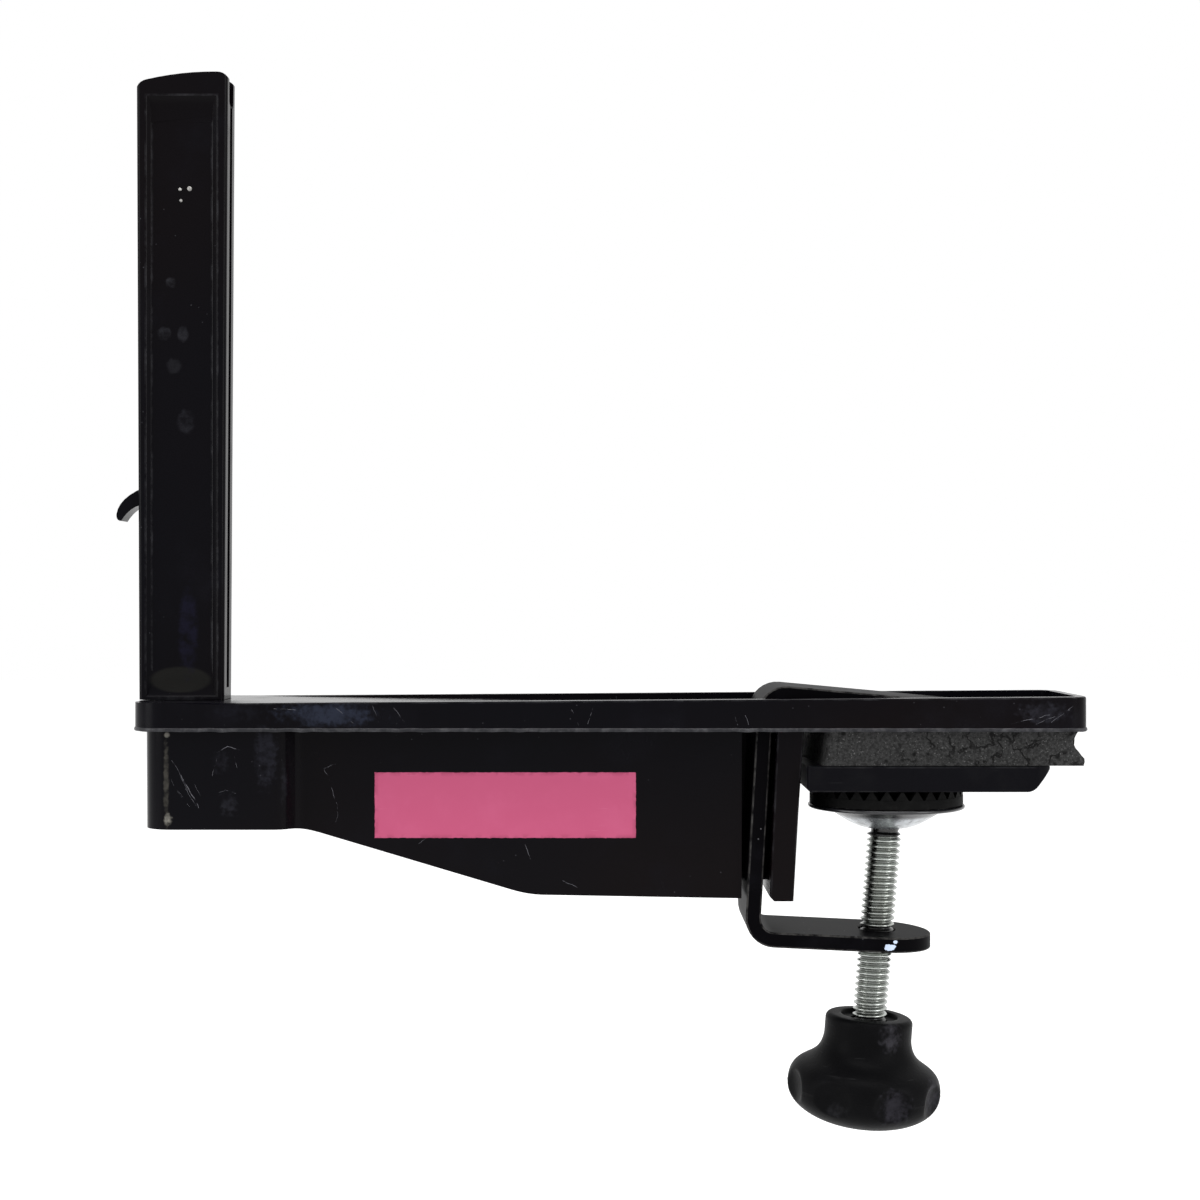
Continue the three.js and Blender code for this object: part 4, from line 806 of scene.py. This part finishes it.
class CLAMP_OT_post(bpy.types.Operator):
    """Dresses the post: rounded edges, gloss moulding with painted sheen in its foot dish, and its
    gate mark with painted glints
    """

    bl_idname = "clamp.post"
    bl_label = "Post"

    def execute(self, context):
        finish = gloss_plastic("post_gloss", POST_SCRATCHES_AND_GLINTS, POST_SMUDGES_AND_SHEEN)
        shell = rounded_copy("post", 0.28 * MM, corner=28, keep=self.is_long_outer)
        self.soften_dish(shell)
        add_piece("post_moulding", shell, "frame", finish, ("post",),
                  sharp=32, weighted=True)
        self.gate_mark()
        return {"FINISHED"}

    def soften_dish(self, shell):
        """Lets the dish at the foot of each panel run out gently into the panel's floor."""
        for side in (-1, 1):
            dished = [v for v in shell.verts
                      if v.co.y * side > 3 * MM and abs(v.co.x - DISH_MIDDLE[0]) < DISH_REACH[0]
                      and abs(v.co.z - DISH_MIDDLE[1]) < DISH_REACH[1]]
            floor = max(v.co.y * side for v in dished)
            for v in dished:
                v.co.y = side * (floor - DISH_SHARE * (floor - v.co.y * side))

    def is_long_outer(self, edge):
        """True on long edges above the socket that lie outside the slot, the mouth and the hook."""
        ends = [v.co for v in edge.verts]
        outside = min(abs(e.y) for e in ends) > 3.1 * MM and min(e.z for e in ends) > 14.2 * MM
        return outside and edge.calc_length() > 3 * MM

    def gate_mark(self):
        """Three tiny beads where the mould was fed, in the panel near the post's top, carrying
        painted glints.
        """
        beads = bmesh.new()
        for x, z, radius in GATE_BEADS:
            bead = bmesh.ops.create_uvsphere(beads, u_segments=14, v_segments=8,
                                             radius=radius * MM)
            bmesh.ops.translate(beads, verts=bead["verts"], vec=(x * MM, PANEL_FACE, z * MM))
        add_piece("gate_mark", beads, "frame", glinting_bead_plastic(), sharp=60)


def glinting_bead_plastic():
    """Black moulding with near-white patches: painted glints, also standing for whitening where the
    sprue was broken off.
    """
    f = Finish("glinting_bead_plastic", (0.05, 0.05, 0.05), 0.3, specular=0.4)
    glint = f.between(f.noise(900, 3), 0.38, 0.55)
    return f.finish(f.mixed(glint, f.color, (0.45, 0.44, 0.42, 1)))


class CLAMP_OT_fixing(bpy.types.Operator):
    """Dresses the screw and the washer that hold the post"""

    bl_idname = "clamp.fixing"
    bl_label = "Post fixing"

    def execute(self, context):
        finish = zinc_plate("fastener_zinc")
        for node in ("post_screw", "post_washer"):
            shell = rounded_copy(node, 0.12 * MM, corner=50, segments=1)
            add_piece(node + "_plated", shell, "frame", finish, (node,), sharp=32)
        return {"FINISHED"}


# ---- Strap and clamping screw ----

TONGUE_TOP = -39.5      # millimetres, where the screw leaves the strap, along the screw
STRAP_CHIPS = (
    ((-1.9, -12.5, -41.7), 1.7, (0.8, 0.8, 1.3)),
    ((-0.6, -12.5, -40.5), 1.0, (0.8, 0.8, 1.5)),
)
BALL_NECK = 3.3 * MM        # radius where the ball joins the shank
THREAD_START = -16.5 * MM   # along the screw, just below the cup
THREAD_ROWS = 11            # rings of points in one turn of the thread
KNOB_SEAT = 8.5 * MM        # length of the plain end inside the knob


class CLAMP_OT_strap(bpy.types.Operator):
    """Dresses the steel strap in chipped gloss paint"""

    bl_idname = "clamp.strap"
    bl_label = "Strap"

    def execute(self, context):
        finish = black_paint("strap_paint", STRAP_CHIPS)
        shell = rounded_copy("strap", sizes().bar_edge, corner=40, segments=3,
                             keep=lambda edge: edge.calc_length() > 0.5 * MM)
        add_piece("strap_painted", shell, "frame", finish, ("strap",),
                  sharp=32, weighted=True)
        return {"FINISHED"}


class CLAMP_OT_spindle(bpy.types.Operator):
    """Turns the clamping screw with its rolled thread and ball end"""

    bl_idname = "clamp.spindle"
    bl_label = "Clamping screw"

    steps: IntProperty(name="Steps", description="Facets round the screw", default=44, min=12)

    def execute(self, context):
        low, high = leaning_extent("spindle")
        ball = (high.x - low.x) / 2
        centre = high.z - ball
        turns = 12
        last = math.pi - math.asin(BALL_NECK / ball)
        rows = []
        for i in range(1, turns + 1):
            angle = last * i / turns
            rows.append((ball * math.sin(angle), centre + ball * math.cos(angle), 0))
        start, end = THREAD_START, low.z + KNOB_SEAT
        pitch, depth = sizes().thread_pitch, sizes().thread_depth
        root = sizes().thread_radius - depth
        rows += [(BALL_NECK, start + 0.4 * MM, 0), (root, start, 0)]
        count = round((start - end) / (pitch / THREAD_ROWS))
        for i in range(1, count):
            height = start - (start - end) * i / count
            rows.append((root, height, smoothstep(0, 0.6 * pitch, start - height)))
        rows += [(root, end, 0), (root - 0.1 * MM, low.z, 0)]
        rings, depths = [], []
        for radius, height, fade in rows:
            ring = []
            for k in range(self.steps):
                angle = 2 * math.pi * k / self.steps
                crest = self.thread(height / pitch - angle / (2 * math.pi)) * fade
                reach = radius + depth * crest
                ring.append(LEAN @ Vector((reach * math.cos(angle), reach * math.sin(angle), height)))
                depths.append(1 - crest if fade else 0.25)
            rings.append(ring)
        shaft = grid_shell(rings)
        layer = shaft.verts.layers.float.new("depth")
        shaft.verts.ensure_lookup_table()
        for vertex, value in zip(shaft.verts, depths):
            vertex[layer] = value
        knob = leaning_extent("knob")[1].z
        # Dark bands where the screw enters the strap's tongue and the knob, and on the neck just
        # below the cup.
        bands = (
            (TONGUE_TOP - 3.9, TONGUE_TOP + 1.5), (knob / MM - 1.5, knob / MM + 0.6),
            (start / MM - 0.9, start / MM + 2.6),
        )
        finish = zinc_plate("spindle_zinc", threaded=True, bands=bands)
        add_piece("spindle_threaded", shaft, "screw", finish, ("spindle",),
                  sharp=70)
        return {"FINISHED"}

    def thread(self, phase):
        """1 on the crest and 0 in the root of a rolled 60 degree thread."""
        share = abs(2 * (phase % 1.0) - 1)
        return smoothstep(0.16, 0.9, share) * 0.35 + 0.65 * min(1.0, max(0.0, (share - 0.14) / 0.72))


KNOB_TURN = -8.5        # degrees, how the knob stands on the screw's squared end
KNOB_EQUATOR = 16.8 * MM    # the widest ring, below the knob's top
SCOOP_RADIUS = 11 * MM
SCOOP_HEIGHT = 12 * MM      # half the height of a scoop
SCOOP_DEPTH = 1.7 * MM
# Painted sheen: lighter bluish patches where the scoops and lobes face the light, as point, radius,
# stretch, share, colour and unevenness.
KNOB_PAINTED_SHEEN = (
    ((-1.2, -10, -63.0), 4.4, (1, 0.5, 0.8), 0.7, (0.054, 0.052, 0.061, 1), 1.0),
    ((-1.6, -16, -77.6), 6.0, (0.9, 0.3, 0.8), 0.62, (0.038, 0.036, 0.045, 1), 1.1),
    ((8.8, -10, -77.0), 5.4, (1.4, 0.3, 0.7), 0.7, (0.036, 0.034, 0.042, 1), 1.0),
    ((-14.5, -16, -78.5), 3.6, (1, 0.3, 1.5), 0.5, (0.030, 0.030, 0.034, 1), 0.9),
)


class CLAMP_OT_knob(bpy.types.Operator):
    """Moulds the lobed knob with scooped flutes, parting line and recess"""

    bl_idname = "clamp.knob"
    bl_label = "Knob"

    steps: IntProperty(name="Steps", description="Facets round the knob", default=224, min=32)

    def execute(self, context):
        low, high = leaning_extent("knob")
        radius = (high.x - low.x) / 2
        equator = high.z - KNOB_EQUATOR
        rings = []
        for reach, height in self.outline(radius, high.z, equator, low.z):
            ring = around(self.steps, height, lambda angle: self.scooped(
                reach, height, angle, radius, equator))
            rings.append([LEAN @ point for point in ring])
        shell = grid_shell(rings)
        finish = satin_plastic("knob_satin", colors().satin_black, grain=1300, roughness=0.4,
                               patches=KNOB_PAINTED_SHEEN)
        add_piece("knob_moulded", shell, "screw", finish, ("knob",), sharp=48)
        return {"FINISHED"}

    def outline(self, radius, top, equator, base):
        """Radius and height of the knob's skin, from the bottom of its bore round to its base."""
        neck, recess, bore, round_over = 10.15 * MM, 6.6 * MM, 4.3 * MM, 1.3 * MM
        points = [(3.2 * MM, base + 8.4 * MM), (bore, base + 8.6 * MM), (bore, top - 1.1 * MM),
                  (bore + 0.15 * MM, top - 1.0 * MM), (recess - 0.2 * MM, top - 1.0 * MM),
                  (recess, top - 0.8 * MM), (recess, top - 0.15 * MM), (recess + 0.15 * MM, top)]
        points += [(recess + 0.9 * MM, top), (neck - round_over - 0.5 * MM, top)]
        for i in range(7):
            turn = math.pi / 2 * i / 6
            points.append((neck - round_over + round_over * math.sin(turn),
                           top - round_over + round_over * math.cos(turn)))
        neck_end = top - 5 * MM
        points += [(neck, top - (1.3 + 0.9 * i) * MM) for i in range(1, 5)]
        controls = ((neck, neck_end), (neck + 0.8 * MM, neck_end - 7.4 * MM),
                    (radius, neck_end - 4.4 * MM), (radius, equator))
        points += curve(controls, 32, first=1)
        points += [(radius, equator - 0.05 * MM), (radius + 0.05 * MM, equator - 0.12 * MM),
                   (radius, equator - 0.2 * MM)]
        dome = equator - base
        for i in range(2, 30):
            turn = math.pi / 2 * i / 30
            points.append((radius * math.cos(turn) ** (2 / 2.2),
                           equator - dome * math.sin(turn) ** (2 / 2.2)))
        points.append((0.4 * MM, base))
        return points

    def scooped(self, reach, height, angle, radius, equator):
        """The skin's radius where a scoop between two lobes cuts it, with a soft edge."""
        centre = radius - SCOOP_DEPTH + SCOOP_RADIUS
        pitch = 2 * math.pi / sizes().knob_lobes
        off = ((angle - math.radians(KNOB_TURN)) % pitch) - pitch / 2
        level = (height - (equator - 1 * MM)) / SCOOP_HEIGHT
        if abs(level) >= 1:
            return reach
        ball = SCOOP_RADIUS * math.sqrt(1 - level * level)
        side = centre * abs(math.sin(off))
        if side >= ball:
            return reach
        cut = centre * math.cos(off) - math.sqrt(ball * ball - side * side)
        soft = 0.22 * MM
        blend = max(0.0, soft - abs(reach - cut)) / soft
        return min(reach, cut) - blend * blend * soft / 4


# ---- Jaw ----


class CLAMP_OT_jaw(bpy.types.Operator):
    """Dresses the jaw plate, the toothed disc and the pressed cup"""

    bl_idname = "clamp.jaw"
    bl_label = "Jaw"

    def execute(self, context):
        plate = rounded_copy("jaw_plate", sizes().jaw_edge, corner=30, segments=3,
                             keep=lambda edge: edge.calc_length() > MM)
        add_piece("jaw_plate_moulded", plate, "jaw",
                  satin_plastic("jaw_satin", colors().jaw_black, 900, 0.42, 0.05),
                  ("jaw_plate",), sharp=32, weighted=True)
        disc = rounded_copy("grip_disc", 0.12 * MM, corner=50, segments=1, keep=lambda edge: (
            min(v.co.z for v in edge.verts) < -8.5 * MM))
        add_piece("grip_disc_rubber", disc, "jaw", dark_rubber("disc_rubber"),
                  ("grip_disc",), sharp=40)
        self.cup()
        return {"FINISHED"}

    def cup(self):
        """The pressed cup: a shallow dome round the screw's neck, with a rolled lip."""
        low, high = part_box("swivel_cup")
        centre = Vector(((low.x + high.x) / 2, 0, 0))
        radius = (high.x - low.x) / 2
        top, base = high.z, low.z
        metal, hole, dome = 0.9 * MM, 4.0 * MM, 14.2 * MM
        shoulder = top - metal
        outside = curve(((hole, base), (hole + 4 * MM, base + 0.2 * MM),
                         (dome - 2.6 * MM, shoulder - 1.3 * MM), (dome, shoulder)), 16)
        inside = [(r, z + metal) for r, z in reversed(outside)]
        lip = [(radius - 1.1 * MM, shoulder)]
        for i in range(9):
            turn = math.pi * (i / 8 - 0.5)
            lip.append((radius - metal / 2 + metal / 2 * math.cos(turn),
                        top - metal / 2 + metal / 2 * math.sin(turn)))
        section = outside + lip + [(radius - 1.1 * MM, top)] + inside
        rings = [[centre + point for point in around(96, height, lambda angle: reach)]
                 for reach, height in section]
        rings.append(rings[0])
        cup = grid_shell(rings, closed_ends=False)
        bmesh.ops.remove_doubles(cup, verts=cup.verts, dist=0.001 * MM)
        add_piece("swivel_cup_pressed", cup, "jaw", pressed_steel(),
                  ("swivel_cup",), sharp=50)


def pressed_steel():
    """Black plated steel, rubbed bright over the dome and along the lip."""
    f = Finish("cup_steel", (0.012, 0.012, 0.014), 0.24)
    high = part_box("swivel_cup")[1]
    dome = f.between(f.along((0, 0, 1)), high.z - 2.0 * MM, high.z - 3.0 * MM)
    rubbed = f.between(f.noise(380, 4, 0.65), 0.34, 0.62)
    bare = f.calc("MULTIPLY", dome, f.calc("MULTIPLY_ADD", rubbed, 0.4, 0.5))
    tone = f.mixed(bare, f.color, (0.42, 0.44, 0.46, 1))
    return f.finish(tone, normal=f.bump(f.noise(700, 3), 0.15, 0.05 * MM), metallic=bare)


# ---- Foam pad ----

PAD_SKEW = 1.5 * MM     # the far side reaches this much further out than the near side
PAD_TURN = 0.8 * MM     # how far the soft far corner spreads towards the stop
PAD_LIP = 0.8           # millimetres, how far the table end stands out past its foot
PAD_SLOPE = 1.2 * MM    # the outer end leans by this much from its foot to its top


class CLAMP_OT_pad(bpy.types.Operator):
    """Cuts the foam pad, with its drawn-in ends and torn cells"""

    bl_idname = "clamp.pad"
    bl_label = "Foam pad"

    def execute(self, context):
        low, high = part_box("upper_pad")
        size = high - low
        cell = sizes().foam_cell
        counts = [max(4, round(size[i] / cell)) for i in range(3)]
        points = {}
        mesh_data = bmesh.new()

        def vertex(i, j, k):
            key = (i, j, k)
            if key not in points:
                points[key] = mesh_data.verts.new(self.shape(
                    i / counts[0], j / counts[1], k / counts[2], low, size,
                ))
            return points[key]

        for axis in range(3):
            a, b = [n for n in range(3) if n != axis]
            for end in (0, counts[axis]):
                for i in range(counts[a]):
                    for j in range(counts[b]):
                        corners = []
                        for di, dj in ((0, 0), (1, 0), (1, 1), (0, 1)):
                            key = [0, 0, 0]
                            key[axis], key[a], key[b] = end, i + di, j + dj
                            corners.append(vertex(*key))
                        mesh_data.faces.new(corners)
        bmesh.ops.recalc_face_normals(mesh_data, faces=mesh_data.faces)
        pad = add_piece("pad_foam", mesh_data, "frame", closed_cell_foam("pad_foam_grey"),
                        ("upper_pad",), sharp=75)
        return {"FINISHED"}

    def shape(self, u, v, w, low, size):
        """Place of a point of the pad from its shares of length, width and height."""
        x = low.x + size.x * u
        y = low.y + size.y * v
        z = low.z + size.z * w
        edge = 0.9 * MM
        to_end = min(u, 1 - u) * size.x
        to_side = min(v, 1 - v) * size.y
        draw = 2.5 * smoothstep(0.12, 0.62, w) - 0.5 * smoothstep(0.7, 1, w)
        draw += 0.7 * smoothstep(0.12, 0, w) - PAD_LIP
        draw *= MM * smoothstep(6 * MM, 0, (1 - u) * size.x)
        skew = PAD_SKEW * (1 - v) - PAD_TURN * v + PAD_SLOPE * w
        skew *= smoothstep(7 * MM, 0, u * size.x)
        x += skew - draw
        waist = 0.5 * MM * math.sin(math.pi * w) * smoothstep(2 * MM, 0, to_side)
        y += waist * (1 if v < 0.5 else -1)
        inward = 0.16 * MM
        grain = noise.noise(Vector((x, y, z)) * 900) + 0.8 * noise.noise(Vector((x, y, z)) * 380)
        shift = max(0.0, 0.5 + grain) * inward
        if w in (0.0, 1.0):
            return Vector((x, y, z))
        if to_side == 0:
            y += shift * (1 if v < 0.5 else -1)
        if to_end == 0:
            x += shift * 2 * (1 if u < 0.5 else -1)
        corner = max(0.0, edge - to_end) * max(0.0, edge - to_side) / edge
        y += corner * (1 if v < 0.5 else -1)
        return Vector((x, y, z))


# ---- Stage ----


STAGE_MIDDLE = Vector((-0.068, 0, 0.0374))
CAMERA_DISTANCE = 0.445
# Lamps: name, place, width, height and power.
LAMPS = (
    ("top_light", (-0.05, -0.1, 0.75), 0.7, 0.5, 5.0),
    ("left_light", (-0.85, -0.35, 0.25), 0.35, 0.6, 2.5),
    ("right_light", (0.66, -0.55, 0.35), 0.35, 0.6, 3.2),
)


class CLAMP_OT_stage(bpy.types.Operator):
    """Sets up the floor, the soft lights, the white surround and the camera"""

    bl_idname = "clamp.stage"
    bl_label = "Stage"

    def execute(self, context):
        self.floor(CAD_BOX[0].z - KNOB_DROP)
        self.surround(context.scene)
        for lamp in LAMPS:
            self.lamp(*lamp)
        self.camera(context.scene)
        context.scene.view_settings.view_transform = "Standard"
        return {"FINISHED"}

    def floor(self, level):
        """A pale floor that keeps the clamp's shadow and looks nearly white."""
        mesh = bpy.data.meshes.new("floor")
        half = 3.0
        corners = [(-half, -half, level), (half, -half, level), (half, half, level),
                   (-half, half, level)]
        mesh.from_pydata(corners, [], [(0, 1, 2, 3)])
        floor = bpy.data.objects.new("floor", mesh)
        bpy.context.scene.collection.objects.link(floor)
        material = bpy.data.materials.new("floor_pale")
        material.use_nodes = True
        tree = material.node_tree
        shader = tree.nodes["Principled BSDF"]
        shader.inputs["Base Color"].default_value = (0.7, 0.7, 0.7, 1)
        shader.inputs["Roughness"].default_value = 0.9
        path = tree.nodes.new("ShaderNodeLightPath")
        seen = tree.nodes.new("ShaderNodeMath")
        seen.operation = "MAXIMUM"
        tree.links.new(path.outputs["Is Camera Ray"], seen.inputs[0])
        tree.links.new(path.outputs["Is Glossy Ray"], seen.inputs[1])
        glow = tree.nodes.new("ShaderNodeMath")
        glow.operation = "MULTIPLY"
        glow.inputs[1].default_value = 0.62
        tree.links.new(seen.outputs[0], glow.inputs[0])
        shader.inputs["Emission Color"].default_value = (1, 1, 1, 1)
        tree.links.new(glow.outputs[0], shader.inputs["Emission Strength"])
        mesh.materials.append(material)

    def surround(self, scene):
        """White where the camera or a reflection looks, and a plainer level where it lights."""
        world = bpy.data.worlds.new("surround")
        world.use_nodes = True
        tree = world.node_tree
        background = tree.nodes["Background"]
        background.inputs["Color"].default_value = (1, 1, 1, 1)
        path = tree.nodes.new("ShaderNodeLightPath")
        shown = path.outputs["Is Camera Ray"]
        for other in ("Is Glossy Ray", "Is Transmission Ray"):
            join = tree.nodes.new("ShaderNodeMath")
            join.operation = "MAXIMUM"
            tree.links.new(shown, join.inputs[0])
            tree.links.new(path.outputs[other], join.inputs[1])
            shown = join.outputs[0]
        level = tree.nodes.new("ShaderNodeMapRange")
        level.inputs["To Min"].default_value = 0.55
        level.inputs["To Max"].default_value = 1.0
        tree.links.new(shown, level.inputs["Value"])
        tree.links.new(level.outputs["Result"], background.inputs["Strength"])
        scene.world = world

    def lamp(self, name, place, width, height, power):
        data = bpy.data.lights.new(name, "AREA")
        data.shape = "RECTANGLE"
        data.size = width
        data.size_y = height
        data.energy = power
        lamp = bpy.data.objects.new(name, data)
        lamp.location = place
        lamp.rotation_euler = (STAGE_MIDDLE - Vector(place)).to_track_quat("-Z", "Y").to_euler()
        bpy.context.scene.collection.objects.link(lamp)

    def camera(self, scene):
        data = bpy.data.cameras.new("camera")
        data.lens = 57
        data.sensor_width = 36
        camera = bpy.data.objects.new("camera", data)
        camera.location = STAGE_MIDDLE + Vector((0, -CAMERA_DISTANCE, 0))
        camera.rotation_euler = (math.radians(90), 0, 0)
        scene.collection.objects.link(camera)
        scene.camera = camera


# ---- Add-on ----


class CLAMP_PT_panel(bpy.types.Panel):
    """Lists the steps that dress the clamp"""

    bl_idname = "CLAMP_PT_panel"
    bl_label = "Net clamp"
    bl_space_type = "VIEW_3D"
    bl_region_type = "UI"
    bl_category = "Net clamp"

    def draw(self, context):
        for step in STEPS:
            self.layout.operator(step.bl_idname)
        for group in (context.scene.clamp_sizes, context.scene.clamp_colors):
            for name in group.__annotations__:
                self.layout.prop(group, name)


STEPS = (
    CLAMP_OT_bracket, CLAMP_OT_label, CLAMP_OT_post, CLAMP_OT_fixing, CLAMP_OT_strap,
    CLAMP_OT_spindle, CLAMP_OT_knob, CLAMP_OT_jaw, CLAMP_OT_pad, CLAMP_OT_stage,
)
CLASSES = (ClampSizes, ClampColors) + STEPS + (CLAMP_PT_panel,)


def register():
    for item in CLASSES:
        bpy.utils.register_class(item)
    bpy.types.Scene.clamp_sizes = PointerProperty(type=ClampSizes)
    bpy.types.Scene.clamp_colors = PointerProperty(type=ClampColors)


def unregister():
    del bpy.types.Scene.clamp_colors
    del bpy.types.Scene.clamp_sizes
    for item in reversed(CLASSES):
        bpy.utils.unregister_class(item)


def main():
    register()
    for step in STEPS:
        group, name = step.bl_idname.split(".")
        getattr(getattr(bpy.ops, group), name)()


if __name__ == "__main__":
    main()
